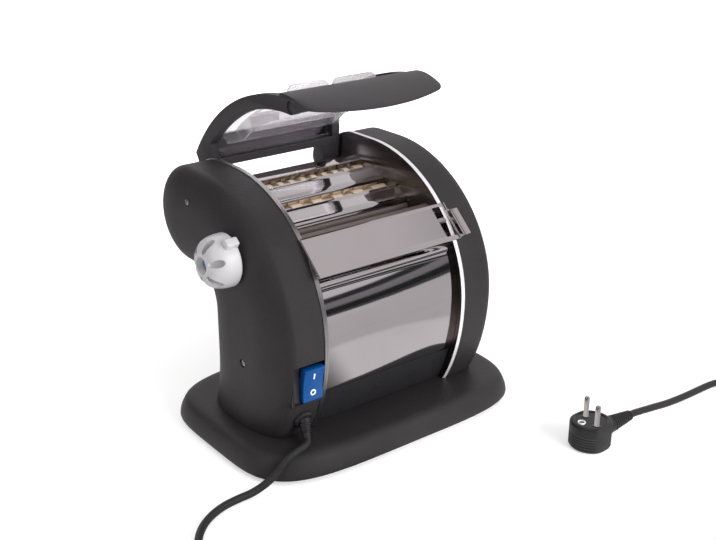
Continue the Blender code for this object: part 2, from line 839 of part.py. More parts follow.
def gear_outline(teeth, phase):
    """Involute teeth, the first centred on the phase angle."""
    pitch_radius = gear_module * teeth / 2
    base_radius = pitch_radius * math.cos(pressure_angle)
    tip_radius = pitch_radius + gear_module * addendum_share
    root_radius = pitch_radius - gear_module * dedendum_share
    half_tooth = math.pi / (2 * teeth) - gear_backlash / (2 * pitch_radius)

    def involute(radius):
        turn = math.sqrt(max((radius / base_radius) ** 2 - 1, 0))
        return turn - math.atan(turn)

    at_pitch = involute(pitch_radius)
    radii = [max(base_radius, root_radius), pitch_radius, tip_radius]
    flank = [(radius, half_tooth + at_pitch - involute(radius)) for radius in radii]
    flank.insert(0, (root_radius, min(flank[0][1] * 1.06, math.pi / teeth * 0.94)))
    points = []
    for i in range(teeth):
        centre = phase + 2 * math.pi * i / teeth
        side = [(radius, centre - angle) for radius, angle in flank]
        side += [(radius, centre + angle) for radius, angle in reversed(flank)]
        points += [(radius * math.cos(angle), radius * math.sin(angle)) for radius, angle in side]
    return points


def meshed_phase(first_axis, first_teeth, first_phase, second_axis, second_teeth):
    """The phase that puts a gap of the second gear on a tooth of the first."""
    line = math.atan2(second_axis[1] - first_axis[1], second_axis[0] - first_axis[0])
    offset = (line - first_phase) * first_teeth
    return line + math.pi - (math.pi - offset) / second_teeth


def make_gear(name, axis, teeth, phase, near, thickness, spindle=None):
    """A gear on a journal, or on its own spindle that turns in the side plate."""
    place = (near + thickness / 2, *axis)
    outline = gear_outline(teeth, phase)
    if spindle is None:
        bore = [ring_of(journal_radius + gap, 12)]
        return flat(name, outline, bore, thickness, "gear_nylon", place)
    gear = flat(name, outline, [], thickness, "gear_nylon", place)
    back = plate_inside + gap
    pin = ((0, near + thickness / 2), (journal_radius, near + thickness / 2), (journal_radius, back), (0, back))
    cut(gear, turned(name + "_spindle", pin, None, (0, *axis), 12), "UNION")
    return gear


def make_drive():
    both = 2 * gear_thickness + plane_gap
    inner_end = inner_plane_x + gear_thickness
    make_smooth_roller("smooth_roller_fixed", fixed_axis, left_plate_x - gap, outer_plane_end)
    slide_face = left_plate_x - gap - slide_thickness / 2
    make_smooth_roller("smooth_roller_moving", moving_axis, slide_face + gap, inner_end)
    make_cutter("wide_cutter_front", wide_front_axis, wide_strip, 0, inner_end)
    make_cutter("wide_cutter_rear", wide_rear_axis, wide_strip, 1, outer_plane_end)
    make_cutter("narrow_cutter_front", narrow_front_axis, narrow_strip, 0, inner_end)
    make_cutter("narrow_cutter_rear", narrow_rear_axis, narrow_strip, 1, outer_plane_end)

    phase = 0
    make_gear("fixed_roller_gear", fixed_axis, smooth_teeth, phase, inner_plane_x, both)
    moving = meshed_phase(fixed_axis, smooth_teeth, phase, moving_axis, smooth_teeth)
    make_gear("moving_roller_gear", moving_axis, smooth_teeth, moving, inner_plane_x, gear_thickness)
    drive = meshed_phase(fixed_axis, smooth_teeth, phase, drive_axis, drive_teeth)
    make_gear("drive_gear", drive_axis, drive_teeth, drive, outer_plane_x, gear_thickness, True)
    pinion = meshed_phase(drive_axis, drive_teeth, drive, pinion_axis, cutter_teeth)
    make_gear("motor_pinion", pinion_axis, cutter_teeth, pinion, outer_plane_x, gear_thickness)
    idler = meshed_phase(drive_axis, drive_teeth, drive, idler_axis, idler_teeth)
    make_gear("idler_gear", idler_axis, idler_teeth, idler, outer_plane_x, gear_thickness, True)
    wide_rear = meshed_phase(idler_axis, idler_teeth, idler, wide_rear_axis, cutter_teeth)
    make_gear("wide_rear_gear", wide_rear_axis, cutter_teeth, wide_rear, inner_plane_x, both)
    wide_front = meshed_phase(wide_rear_axis, cutter_teeth, wide_rear, wide_front_axis, cutter_teeth)
    make_gear("wide_front_gear", wide_front_axis, cutter_teeth, wide_front, inner_plane_x, gear_thickness)
    upper = meshed_phase(wide_rear_axis, cutter_teeth, wide_rear, upper_idler_axis, upper_idler_teeth)
    make_gear(
        "upper_idler_gear", upper_idler_axis, upper_idler_teeth, upper, outer_plane_x, gear_thickness, True
    )
    narrow_rear = meshed_phase(upper_idler_axis, upper_idler_teeth, upper, narrow_rear_axis, cutter_teeth)
    make_gear("narrow_rear_gear", narrow_rear_axis, cutter_teeth, narrow_rear, inner_plane_x, both)
    narrow_front = meshed_phase(narrow_rear_axis, cutter_teeth, narrow_rear, narrow_front_axis, cutter_teeth)
    make_gear("narrow_front_gear", narrow_front_axis, cutter_teeth, narrow_front, inner_plane_x, gear_thickness)


def make_motor():
    head_end = plate_inside - gap
    head_start = head_end - gearhead_length
    shaft_end = outer_plane_end
    profile = (
        (0, shaft_end),
        (motor_shaft_radius, shaft_end),
        (motor_shaft_radius, head_end),
        (gearhead_radius, head_end),
        (gearhead_radius, head_start),
        (0, head_start),
    )
    turned("gearhead", profile, "motor_steel", (0, *pinion_axis), 24)
    can_end = head_start - gap
    can_start = can_end - motor_length
    tail = motor_radius / 3
    profile = (
        (0, can_end),
        (motor_radius, can_end),
        (motor_radius, can_start + motor_shoulder),
        (motor_radius - motor_shoulder, can_start),
        (tail, can_start),
        (tail, can_start - motor_shoulder),
        (0, can_start - motor_shoulder),
    )
    turned("motor", profile, "motor_steel", (0, *pinion_axis), 24)


def make_combs():
    """Scraper sheets that follow the rear side of the lower part of each cutter pair."""
    half = inner_width / 2
    for name, axis in (("wide_scraper", wide_rear_axis), ("narrow_scraper", narrow_rear_axis)):
        reach = cutter_radius + comb_thickness / 2 + 2 * gap
        line = arc(axis, reach, comb_start_angle, comb_start_angle + comb_turn, 3)
        tail = (line[0][0] - comb_tail_back, line[0][1] - comb_tail_down)
        folded(name, [tail, *line], half, comb_thickness, "steel")


def make_adjuster():
    """The slide that carries the moving roller, and the cam shaft that shifts it."""
    outline = [
        (-slide_front, -slide_bottom),
        (slide_rear, -slide_bottom),
        (slide_rear, slide_top),
        (-slide_front, slide_top),
    ]
    face = left_plate_x - gap
    middle = face - slide_thickness / 2
    slide = flat("roller_slide", outline, [], slide_thickness, "steel", (middle, *moving_axis))
    cut(slide, rod_cutter("slide_bore_cutter", journal_radius + slide_play, (middle, face + overrun), moving_axis))
    window_half = cam_radius + cam_play
    window_tall = cam_radius + cam_throw + cam_play
    cam_y = knob_y - cam_throw
    pocket_floor = middle - gap
    pocket = block(
        "cam_window_cutter",
        (face - slide_thickness - overrun, cam_y - window_half, knob_z - window_tall),
        (pocket_floor, cam_y + window_half, knob_z + window_tall),
        None,
    )
    cut(slide, pocket)
    cam_near = pocket_floor - gap
    cam_far = cam_near - cam_thickness
    shaft_end = knob_end_x + cap_thickness + 2 * gap
    profile = ((0, cam_far), (shaft_radius, cam_far), (shaft_radius, shaft_end), (0, shaft_end))
    shaft = turned("adjuster_shaft", profile, "steel", (0, knob_y, knob_z), 16)
    cam_profile = ((0, cam_near), (cam_radius, cam_near), (cam_radius, cam_far - gap), (0, cam_far - gap))
    cut(shaft, turned("cam_shape", cam_profile, None, (0, cam_y, knob_z), 20), "UNION")


def make_knob():
    end = knob_end_x
    base = knob_base_x
    length = base - end
    rim = knob_radius
    profile = (
        (knob_bore, base),
        *((rim * out, base - length * along) for out, along in knob_profile_shares),
        (cap_radius + gap, end),
        (cap_radius + gap, end + cap_thickness + gap),
        (knob_bore, end + cap_thickness + gap),
        (knob_bore, base),
    )
    knob = turned("thickness_knob", profile, "satin_silver", (0, knob_y, knob_z), 28)
    grip = block(
        "grip_shape",
        (base - grip_length, -grip_half_width, rim - grip_height),
        (base, grip_half_width, rim + grip_height),
        None,
    )
    grip.matrix_basis = Matrix.Translation((0, knob_y, knob_z)) @ Matrix.Rotation(grip_angle, 4, "X")
    cut(knob, grip, "UNION")
    profile = (
        (0, end + cap_thickness),
        (cap_radius, end + cap_thickness),
        (cap_radius, end + gap),
        (cap_radius * cap_flat_share, end - gap),
        (0, end - gap),
    )
    turned("knob_cap", profile, "blue_cap", (0, knob_y, knob_z), 16)
    return knob


def make_lid():
    centre = (arm_centre_y, arm_centre_z)
    outline = arc(centre, arm_outer_radius, arm_front_angle, arm_back_angle, 12)
    outline += [(hinge_y + lug_radius + 0.5 * arm_thickness, hinge_z + 2 * lug_radius)]
    outline += arc((hinge_y, hinge_z), lug_radius, 0, -math.pi, 6)
    outline += [(crossbar_y[0], crossbar_z[1] + lug_radius)]
    outline += arc(centre, arm_inner_radius, arm_inner_back_angle, arm_front_angle, 10)
    lobe_angle = arm_front_angle
    mid = (arm_outer_radius + arm_inner_radius) / 2
    lobe = (
        centre[0] + mid * math.cos(lobe_angle),
        centre[1] + mid * math.sin(lobe_angle),
    )
    half = (arm_outer_radius - arm_inner_radius) / 2
    outline += arc(lobe, half, lobe_angle + math.pi, lobe_angle + 2 * math.pi, 6)[1:-1]
    arm_x = lid_outer_face - arm_thickness / 2
    frame = flat("lid_frame", outline, [], arm_thickness, "black_shell", (arm_x, 0, 0))
    left_arm = flat("left_arm_shape", outline, [], arm_thickness, None, (-arm_x, 0, 0))
    cut(frame, left_arm, "UNION")
    bar_reach = lid_outer_face - arm_thickness / 2
    bar = block(
        "crossbar_shape", (-bar_reach, crossbar_y[0], crossbar_z[0]), (bar_reach, crossbar_y[1], crossbar_z[1]), None
    )
    cut(frame, bar, "UNION")
    lug = arc((hinge_y, hinge_z), lug_radius, 0, -math.pi, 6)
    lug += [(crossbar_y[0] + gap, crossbar_z[1] - gap), (hinge_y + lug_radius / 2, crossbar_z[1] - gap)]
    lug_width = lid_outer_face - gap - lug_inner_face
    for side in (-1, 1):
        shape = flat(
            f"lug_shape_{'left' if side < 0 else 'right'}",
            lug,
            [],
            lug_width,
            None,
            (side * (lug_inner_face + lug_width / 2), 0, 0),
        )
        cut(frame, shape, "UNION")
        reach = plate_inside + plate_thickness
        inner_end = lid_outer_face - arm_thickness / 2
        near, far = sorted((side * inner_end, side * reach))
        pin = turned(
            f"pin_shape_{'left' if side < 0 else 'right'}",
            ((0, far), (hinge_pin_radius, far), (hinge_pin_radius, near), (0, near)),
            None,
            (0, hinge_y, hinge_z),
            10,
        )
        cut(frame, pin, "UNION")
    cut(frame, make_visor(), "UNION")
    set_origin(frame, (frame.location.x, hinge_y, hinge_z))
    make_shield()


def make_visor():
    """The bowed front panel of the lid, lofted across the machine."""
    rings = []
    reach = lid_outer_face - gap
    for i in range(visor_stations + 1):
        x = -reach + 2 * reach * i / visor_stations
        bow = 1 - (x / reach) ** 2
        rear = arm_top + Vector(visor_rear)
        front = arm_top + Vector(visor_tip) + bow * Vector((visor_bow_y, visor_bow_z))
        middle = (rear + front) / 2 + Vector((0, visor_crown))
        ring = [
            rear + Vector((0, visor_thickness / 2)),
            middle + Vector((0, visor_thickness / 2)),
            front + Vector((0, visor_edge / 2)),
            front - Vector((0, visor_edge / 2)),
            middle - Vector((0, visor_thickness / 2)),
            rear - Vector((0, visor_thickness / 2)),
        ]
        rings.append([(x, point.x, point.y) for point in ring])
    return loft("visor_shape", rings, None)


def make_shield():
    centre = (arm_centre_y, arm_centre_z)
    line = arc(centre, shield_radius, shield_back_angle, shield_front_angle, 12)
    half = lid_outer_face - arm_thickness - gap
    shield = folded("lid_shield", line, half, shield_thickness, "smoke_clear")
    low, high = shield_radius - overrun, shield_radius + overrun
    window = arc(centre, low, window_back_angle, window_front_angle, 4)
    window += arc(centre, high, window_front_angle, window_back_angle, 4)
    cut(shield, flat("window_cutter", window, [], 2 * window_half_width, None, (0, 0, 0)))
    set_origin(shield, (0, hinge_y, hinge_z))
    outer = shield_radius + shield_thickness / 2
    guard_y = arm_top.x + visor_rear[0] + guard_thickness / 2 + gap
    top_of_shield = arm_centre_z + math.sqrt(outer ** 2 - (guard_y - arm_centre_y) ** 2)
    foot = top_of_shield + 2 * gap
    for name, (left, right) in (("left_guard", left_guard), ("right_guard", right_guard)):
        top = foot + guard_height
        outline = [(left, foot), (right, foot)]
        outline += arc((right - guard_corner, top - guard_corner), guard_corner, 0, math.pi / 2, 5)
        outline += arc((left + guard_corner, top - guard_corner), guard_corner, math.pi / 2, math.pi, 5)
        curve = bpy.data.curves.new(name, "CURVE")
        curve.dimensions = "2D"
        curve.fill_mode = "BOTH"
        curve.extrude = guard_thickness / 2
        spline = curve.splines.new("POLY")
        spline.points.add(len(outline) - 1)
        for point, (x, z) in zip(spline.points, outline):
            point.co = (x, z, 0, 1)
        spline.use_cyclic_u = True
        stand_up = Matrix.Translation((0, guard_y, 0)) @ Matrix.Rotation(math.pi / 2, 4, "X")
        guard = as_mesh(name, curve, "smoke_clear", stand_up)
        set_origin(guard, (0, hinge_y, hinge_z))


def make_switch():
    face_y = front_at(switch_z)
    half_height = recess_height / 2 - gap
    front = face_y + recess_floor
    back = front + switch_body_depth
    body = block(
        "switch_housing",
        (recess_x[0] + gap, front, switch_z - half_height),
        (recess_x[1] - gap, back, switch_z + half_height),
        "black_gloss",
    )
    pocket = block(
        "rocker_pocket_cutter",
        (switch_x - rocker_width / 2 - gap, front - overrun, switch_z - rocker_height / 2 - gap),
        (switch_x + rocker_width / 2 + gap, front + rocker_back, switch_z + rocker_height / 2 + gap),
        None,
    )
    cut(body, pocket)
    pivot_y = front
    half = rocker_height / 2 - 2 * gap
    outline = [(y * rocker_rise, z * half) for y, z in rocker_front_shares]
    outline += [(y * rocker_back, z * half) for y, z in rocker_back_shares]
    rocker = flat("rocker", outline, [], rocker_width - 2 * gap, "blue_rocker", (switch_x, pivot_y, switch_z))
    rocker.matrix_world = (
        Matrix.Translation((switch_x, pivot_y, switch_z)) @ Matrix.Rotation(rocker_tilt, 4, "X") @ across_machine
    )


def gland_tip():
    """The end of the gland's sleeve, and the direction the cord leaves it."""
    place, turn = gland_frame()
    out = turn.to_3x3() @ Vector((0, 0, 1))
    down = (out + Vector(sleeve_lean_shares)).normalized()
    return place + out * gland_flange + down * sleeve_length, down


def make_gland():
    place, turn = gland_frame()
    profile = (
        (0, gland_flange),
        (gland_radius - gland_flange / 2, gland_flange),
        (gland_radius, gland_flange / 2),
        (gland_radius, gap),
        (gland_neck_radius, gap),
        (gland_neck_radius, -gland_barrel),
        (0, -gland_barrel),
    )
    gland = turned("cord_gland", profile, "black_gloss", place, 20, axis="Z")
    gland.matrix_basis = Matrix.Translation(place) @ turn
    tip, direction = gland_tip()
    root = tip - direction * (sleeve_length + gland_flange / 2)
    sleeve_profile = (
        (0, sleeve_length + gland_flange / 2),
        (sleeve_tip_radius, sleeve_length + gland_flange / 2),
        (gland_neck_radius, 0),
        (0, 0),
    )
    sleeve = turned("sleeve_shape", sleeve_profile, None, root, 14, axis="Z")
    sleeve.matrix_basis = Matrix.Translation(root) @ direction.to_track_quat("Z", "X").to_matrix().to_4x4()
    cut(gland, sleeve, "UNION")


def smooth_route(points, spacing):
    """Evenly spaced points of a smooth curve through the route's own points."""
    points = [Vector(point) for point in points]
    ends = [2 * points[0] - points[1], *points, 2 * points[-1] - points[-2]]
    fine = []
    steps = 12
    for i in range(1, len(ends) - 2):
        before, here, there, after = ends[i - 1 : i + 3]
        for k in range(steps):
            t = k / steps
            fine.append(
                0.5
                * (
                    2 * here
                    + (there - before) * t
                    + (2 * before - 5 * here + 4 * there - after) * t ** 2
                    + (3 * here - before - 3 * there + after) * t ** 3
                )
            )
    fine.append(points[-1])
    lengths = [0]
    for first, second in zip(fine, fine[1:]):
        lengths.append(lengths[-1] + (second - first).length)
    count = max(round(lengths[-1] / spacing), 2)
    spaced, k = [], 0
    for i in range(count + 1):
        target = lengths[-1] * i / count
        while k < len(fine) - 2 and lengths[k + 1] < target:
            k += 1
        share = (target - lengths[k]) / (lengths[k + 1] - lengths[k])
        spaced.append(fine[k].lerp(fine[k + 1], min(share, 1)))
    return spaced, lengths[-1]


def free_run(start, heading, route, end, end_heading, spacing):
    """A smooth run of cord that starts and ends straight."""
    lead = 2 * cord_radius
    points, length = smooth_route([start + heading * lead, *route, end - end_heading * lead], spacing)
    return [start, *points, end], length + 2 * lead


def tube(name, points, resolution):
    """A round cord along points, its ends capped."""
    curve = bpy.data.curves.new(name, "CURVE")
    curve.dimensions = "3D"
    curve.bevel_depth = cord_radius
    curve.bevel_resolution = resolution
    curve.use_fill_caps = True
    spline = curve.splines.new("POLY")
    spline.points.add(len(points) - 1)
    for point, place in zip(spline.points, points):
        point.co = (*place, 1)
    return as_mesh(name, curve, "cord_black", Matrix.Identity(4))


def coil_points():
    """A two-layer coil: in along the floor, up half a turn, and out again on top."""
    step = 2 * cord_radius + cord_turn_gap
    count = round(coil_turns * coil_points_per_turn)
    climb_start = (coil_turns - coil_climb_turns) / 2
    places = []
    for i in range(count + 1):
        turn = coil_turns * i / count
        climb = min(max(turn - climb_start, 0), coil_climb_turns) / coil_climb_turns
        radius = coil_radius - step * min(turn, coil_turns - turn)
        rise = step * (1 - math.cos(math.pi * climb)) / 2
        angle = math.pi + 2 * math.pi * turn
        places.append(
            Vector(
                (
                    coil_centre[0] + radius * math.cos(angle),
                    coil_centre[1] + radius * math.sin(angle),
                    cord_floor + rise,
                )
            )
        )
    return places


def least_gap(points, skip):
    """The least clear distance between parts of a tube that are not neighbours along it."""
    least = math.inf
    for i, first in enumerate(points):
        for second in points[i + skip :]:
            least = min(least, (second - first).length)
    return least - 2 * cord_radius


def make_cord():
    coil = coil_points()
    first_heading = (coil[1] - coil[0]).normalized()
    last_heading = (coil[-1] - coil[-2]).normalized()
    lead = 2 * cord_radius
    coil = [coil[0] - first_heading * lead, *coil, coil[-1] + last_heading * lead]
    tube("cord_coil", coil, 1)
    tip, direction = gland_tip()
    start = tip + direction * gap
    end = coil[0] - first_heading * gap
    points, first_length = free_run(start, direction, cord_route, end, first_heading, 4 * cord_radius)
    tube("power_cord", points, 2)
    neck = Vector((plug_centre[0] + plug_radius + plug_neck_length + gap, plug_centre[1], plug_neck_z))
    begin = coil[-1] + last_heading * gap
    points, tail_length = free_run(begin, last_heading, tail_route, neck, Vector((-1, 0, 0)), 4.6 * cord_radius)
    tube("cord_tail", points, 2)
    coil_length = sum((b - a).length for a, b in zip(coil, coil[1:]))
    print("least gap in the coil", round(least_gap(coil, coil_points_per_turn // 2), 5))
    print("cord lengths", round(first_length, 3), round(coil_length, 3), round(tail_length, 3))


def make_plug():
    profile = (
        (0, plug_height),
        (plug_radius - plug_edge, plug_height),
        (plug_radius, plug_height - plug_edge),
        (plug_radius, plug_edge),
        (plug_radius - plug_edge, 0),
        (0, 0),
    )
    body = turned("plug_body", profile, "black_gloss", (*plug_centre, 0), 26, axis="Z")
    across = Vector((math.cos(pin_turn), math.sin(pin_turn), 0)) * pin_spacing / 2
    earth_x = plug_centre[0] - math.sin(pin_turn) * earth_offset
    earth_y = plug_centre[1] + math.cos(pin_turn) * earth_offset
    earth_profile = (
        (0, plug_height + overrun),
        (earth_hole_radius, plug_height + overrun),
        (earth_hole_radius, plug_height - earth_hole_depth),
        (0, plug_height - earth_hole_depth),
    )
    cut(body, turned("earth_hole_cutter", earth_profile, None, (earth_x, earth_y, 0), 12, axis="Z"))
    for side in (-1, 1):
        face = plug_centre[1] + side * plug_flat
        far = face + side * overrun
        low, high = sorted((face, far))
        flatten = block(
            f"plug_flat_cutter_{'near' if side < 0 else 'far'}",
            (plug_centre[0] - plug_radius - gap, low, -gap),
            (plug_centre[0] + plug_radius + gap, high, plug_height + gap),
            None,
        )
        cut(body, flatten)
    neck_end = plug_centre[0] + plug_radius + plug_neck_length
    neck_start = plug_centre[0] + plug_radius / 2
    neck_profile = (
        (0, neck_end),
        (plug_tip_radius, neck_end),
        (plug_neck_radius, plug_centre[0] + plug_radius),
        (plug_neck_radius + plug_edge, neck_start),
        (0, neck_start),
    )
    neck = turned("plug_neck_shape", neck_profile, None, (0, plug_centre[1], plug_neck_z), 16)
    cut(body, neck, "UNION")
    for name, side in (("plug_pin_near", -1), ("plug_pin_far", 1)):
        x = plug_centre[0] + side * across.x
        y = plug_centre[1] + side * across.y
        hole_profile = (
            (0, plug_height + overrun),
            (pin_radius + gap, plug_height + overrun),
            (pin_radius + gap, plug_height - pin_root - gap),
            (0, plug_height - pin_root - gap),
        )
        cut(body, turned(name + "_cutter", hole_profile, None, (x, y, 0), 12, axis="Z"))
        profile = (
            (0, plug_height + pin_length),
            (pin_radius * 0.7, plug_height + pin_length),
            (pin_radius, plug_height + pin_length - pin_radius),
            (pin_radius, plug_height - pin_root),
            (0, plug_height - pin_root),
        )
        turned(name, profile, "nickel", (x, y, 0), 12, axis="Z")


def centre_on_floor():
    """Moves the machine so that its box, without the cord, stands centred on the origin."""
    bpy.context.view_layer.update()
    graph = bpy.context.evaluated_depsgraph_get()
    corners = []
    for piece in machine.objects:
        if piece.type == "MESH" and not piece.name.startswith(("power_cord", "cord_coil", "cord_tail", "plug_")):
            done = piece.evaluated_get(graph)
            corners += [done.matrix_world @ Vector(corner) for corner in done.bound_box]
    xs = [corner.x for corner in corners]
    ys = [corner.y for corner in corners]
    shift = Vector((-(min(xs) + max(xs)) / 2, -(min(ys) + max(ys)) / 2, 0))
    machine_frame.location = shift
    bpy.context.view_layer.update()
    print("frame shift", [round(value, 6) for value in shift])
    for label, axis in (
        ("fixed", fixed_axis), ("moving", moving_axis), ("wide_front", wide_front_axis),
        ("wide_rear", wide_rear_axis), ("narrow_front", narrow_front_axis), ("narrow_rear", narrow_rear_axis),
        ("drive", drive_axis), ("pinion", pinion_axis), ("idler", idler_axis), ("upper_idler", upper_idler_axis),
        ("knob", (knob_y, knob_z)), ("hinge", (hinge_y, hinge_z)),
    ):
        print("axis", label, round(axis[0] + shift.y, 6), round(axis[1], 6))


make_base()
make_plates()
make_covers()
make_panels()
make_deck()
make_tray()
make_drive()
make_motor()
make_combs()
make_adjuster()
make_knob()
make_lid()
make_switch()
make_gland()
make_cord()
make_plug()
centre_on_floor()
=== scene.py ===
import json
import math

import bmesh
import bpy
from mathutils import Matrix, Vector

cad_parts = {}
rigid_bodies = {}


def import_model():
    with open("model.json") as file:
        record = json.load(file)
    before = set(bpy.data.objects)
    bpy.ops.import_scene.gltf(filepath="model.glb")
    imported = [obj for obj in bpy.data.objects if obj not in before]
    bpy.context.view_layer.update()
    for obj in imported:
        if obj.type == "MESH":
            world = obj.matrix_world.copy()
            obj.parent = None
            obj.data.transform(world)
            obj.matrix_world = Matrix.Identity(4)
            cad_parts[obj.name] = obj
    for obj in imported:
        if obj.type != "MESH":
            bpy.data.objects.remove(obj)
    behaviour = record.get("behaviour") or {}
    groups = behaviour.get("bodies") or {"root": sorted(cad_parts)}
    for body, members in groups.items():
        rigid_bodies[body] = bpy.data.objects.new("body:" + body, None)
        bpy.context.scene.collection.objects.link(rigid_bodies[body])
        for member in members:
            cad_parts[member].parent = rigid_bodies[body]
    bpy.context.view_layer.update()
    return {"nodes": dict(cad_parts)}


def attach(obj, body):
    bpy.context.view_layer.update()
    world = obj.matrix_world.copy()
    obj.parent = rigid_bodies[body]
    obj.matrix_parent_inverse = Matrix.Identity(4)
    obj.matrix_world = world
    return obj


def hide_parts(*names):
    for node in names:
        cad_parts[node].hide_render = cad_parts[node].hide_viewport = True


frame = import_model()
shift = Vector((0, -0.01745, 0))  # the machine is drawn about its base, the frame about its box

camera = {
    "place": (-0.5879, -0.7853, 0.54), "tilt": 67.9, "turn": -37.5,
    "photoWidth": 716, "focalPixels": 1121, "sensor": 36,
}
bpy.ops.object.camera_add()
eye = bpy.context.object
eye.name = "photoCamera"
eye.location = Vector(camera["place"]) + shift
eye.rotation_euler = (math.radians(camera["tilt"]), 0, math.radians(camera["turn"]))
eye.data.sensor_width = camera["sensor"]
eye.data.lens = camera["focalPixels"] / camera["photoWidth"] * camera["sensor"]
bpy.context.scene.camera = eye
print("camera placed")


# Shader maths: a wire is a node's output, and a board is a node tree
class Wire:
    def __init__(self, board, output):
        self.board = board
        self.output = output

    def other(self, name):  # another output of the same node
        return Wire(self.board, self.output.node.outputs[name])

    def math(self, operation, first, second):
        return self.board.add("ShaderNodeMath", {"operation": operation}, {0: first, 1: second})

    def __add__(self, other):
        return self.math("ADD", self, other)

    def __radd__(self, other):
        return self.math("ADD", other, self)

    def __sub__(self, other):
        return self.math("SUBTRACT", self, other)

    def __rsub__(self, other):
        return self.math("SUBTRACT", other, self)

    def __mul__(self, other):
        return self.math("MULTIPLY", self, other)

    def __rmul__(self, other):
        return self.math("MULTIPLY", other, self)


class Board:
    def __init__(self, tree):
        self.tree = tree

    def add(self, kind, settings=None, inputs=None, output=0):
        node = self.tree.nodes.new(kind)
        for key, value in (settings or {}).items():
            if key == "stops":
                ramp = node.color_ramp
                while len(ramp.elements) < len(value):
                    ramp.elements.new(0.5)
                for element, (place, colour) in zip(ramp.elements, value):
                    element.position = place
                    element.color = (*colour, 1)
            else:
                setattr(node, key, value)
        for key, value in (inputs or {}).items():
            self.feed(node.inputs[key], value)
        return Wire(self, node.outputs[output])

    def feed(self, socket, value):
        if isinstance(value, Wire):
            self.tree.links.new(value.output, socket)
        else:
            socket.default_value = value


def newMaterial(name, constants):
    made = bpy.data.materials.new(name)
    made.use_nodes = True
    board = Board(made.node_tree)
    board.made = made
    board.shader = made.node_tree.nodes["Principled BSDF"]
    for key, value in constants.items():
        board.shader.inputs[key].default_value = value
    board.place = board.add("ShaderNodeTexCoord", output="Object")
    return board


def noise(board, scale, detail=2, stretch=(1, 1, 1)):
    place = board.add("ShaderNodeMapping", {}, {"Vector": board.place, "Scale": stretch})
    return board.add("ShaderNodeTexNoise", {}, {"Vector": place, "Scale": scale, "Detail": detail})


def mixColours(board, factor, first, second):
    first, second = [end if isinstance(end, Wire) else (*end, 1) for end in (first, second)]
    return board.add("ShaderNodeMix", {"data_type": "RGBA"}, {"Factor": factor, "A": first, "B": second}, 2)


def fade(board, value, start, end, low=0.0, high=1.0):
    ends = {"Value": value, "From Min": start, "From Max": end, "To Min": low, "To Max": high}
    return board.add("ShaderNodeMapRange", {"interpolation_type": "SMOOTHSTEP"}, ends)


def wander(level, *patterns):  # a roughness that strays with each pattern
    for pattern, amount in patterns:
        level = level + amount * (pattern - 0.5)
    return level


def dress(board, mask, dark, light, rough, height=None, strength=0.0, depth=0.0):
    board.feed(board.shader.inputs["Base Color"], mixColours(board, mask, dark, light))
    board.feed(board.shader.inputs["Roughness"], rough)
    if height:
        relief = {"Height": height, "Strength": strength, "Distance": depth}
        board.feed(board.shader.inputs["Normal"], board.add("ShaderNodeBump", {}, relief))
    return board.made


def mouldedBlack(name, dark, light, rough, grainSize, grainDepth):
    board = newMaterial(name, {"Specular IOR Level": 0.42})
    patches = noise(board, 26, 3)
    grain = noise(board, grainSize, 3)
    cells = {"Vector": board.place, "Scale": grainSize * 0.8}
    pits = board.add("ShaderNodeTexVoronoi", {"feature": "SMOOTH_F1"}, cells)
    rough = wander(rough, (grain, 0.12), (patches, 0.08))
    relief = grain * 0.6 + pits * 0.8
    return dress(board, patches * 0.5 + grain * 0.5, dark, light, rough, relief, 0.55, grainDepth)


def polishedChrome():
    board = newMaterial("polishedChrome", {"Metallic": 1.0})
    smears = noise(board, 14, 4, (1, 0.5, 0.5))
    hairlines = noise(board, 900, 2, (0.02, 1, 1))
    waves = noise(board, 22, 1, (0.4, 1, 1))
    rough = 0.02 + 0.05 * smears + 0.02 * hairlines
    relief = waves * 0.9 + hairlines * 0.1
    return dress(board, smears, (0.66, 0.63, 0.64), (0.76, 0.74, 0.75), rough, relief, 0.1, 0.0006)


def turnedMetal(name, dark, light, rough, metallic=1.0):
    board = newMaterial(name, {"Metallic": metallic})
    rings = noise(board, 700, 3, (1, 0.06, 0.06))
    stains = noise(board, 90, 3)
    rough = wander(rough, (rings, 0.14), (stains, 0.08))
    return dress(board, stains * 0.6 + rings * 0.4, dark, light, rough, rings, 0.18, 0.0002)


def innerWallPaintedShade():  # painted light and shade: the colour is bright at the back, where light falls in, and dark over the rollers, where shade falls
    board = newMaterial("innerWallPaintedShade", {"Metallic": 1.0})
    smears = noise(board, 60, 3)
    back = board.add("ShaderNodeSeparateXYZ", {}, {"Vector": board.place}, "Y")
    # painted light: this mask lightens the colour towards the back of the wall
    paintedLight = fade(board, back, 0.025, 0.075)
    return dress(board, paintedLight, (0.19, 0.16, 0.15), (0.62, 0.6, 0.61), 0.14 + 0.1 * smears)


def satinSilver():
    board = newMaterial("satinSilver", {"Metallic": 0.25})
    flakes = noise(board, 2600, 2)
    clouds = noise(board, 40, 2)
    rough = wander(0.3, (flakes, 0.1), (clouds, 0.06))
    mask = flakes * 0.5 + clouds * 0.5
    return dress(board, mask, (0.46, 0.45, 0.465), (0.58, 0.57, 0.58), rough, flakes, 0.1, 0.0001)


def clearSmoke(name, dark, light, solid):
    glass = {"Transmission Weight": 0.94, "IOR": 1.3, "Specular IOR Level": 0.5, "Alpha": solid}
    board = newMaterial(name, glass)
    haze = noise(board, 30, 3)
    return dress(board, haze, dark, light, 0.02 + 0.05 * haze, haze, 0.05, 0.0004)


def plainPlastic(name, dark, light, rough, coat=0.0, grainSize=500, grainDepth=0.00015):
    board = newMaterial(name, {"Coat Roughness": 0.12, "Coat Weight": coat})
    grain = noise(board, grainSize, 3)
    clouds = noise(board, 60, 2)
    rough = wander(rough, (grain, 0.1), (clouds, 0.06))
    return dress(board, clouds * 0.6 + grain * 0.4, dark, light, rough, grain, 0.25, grainDepth)


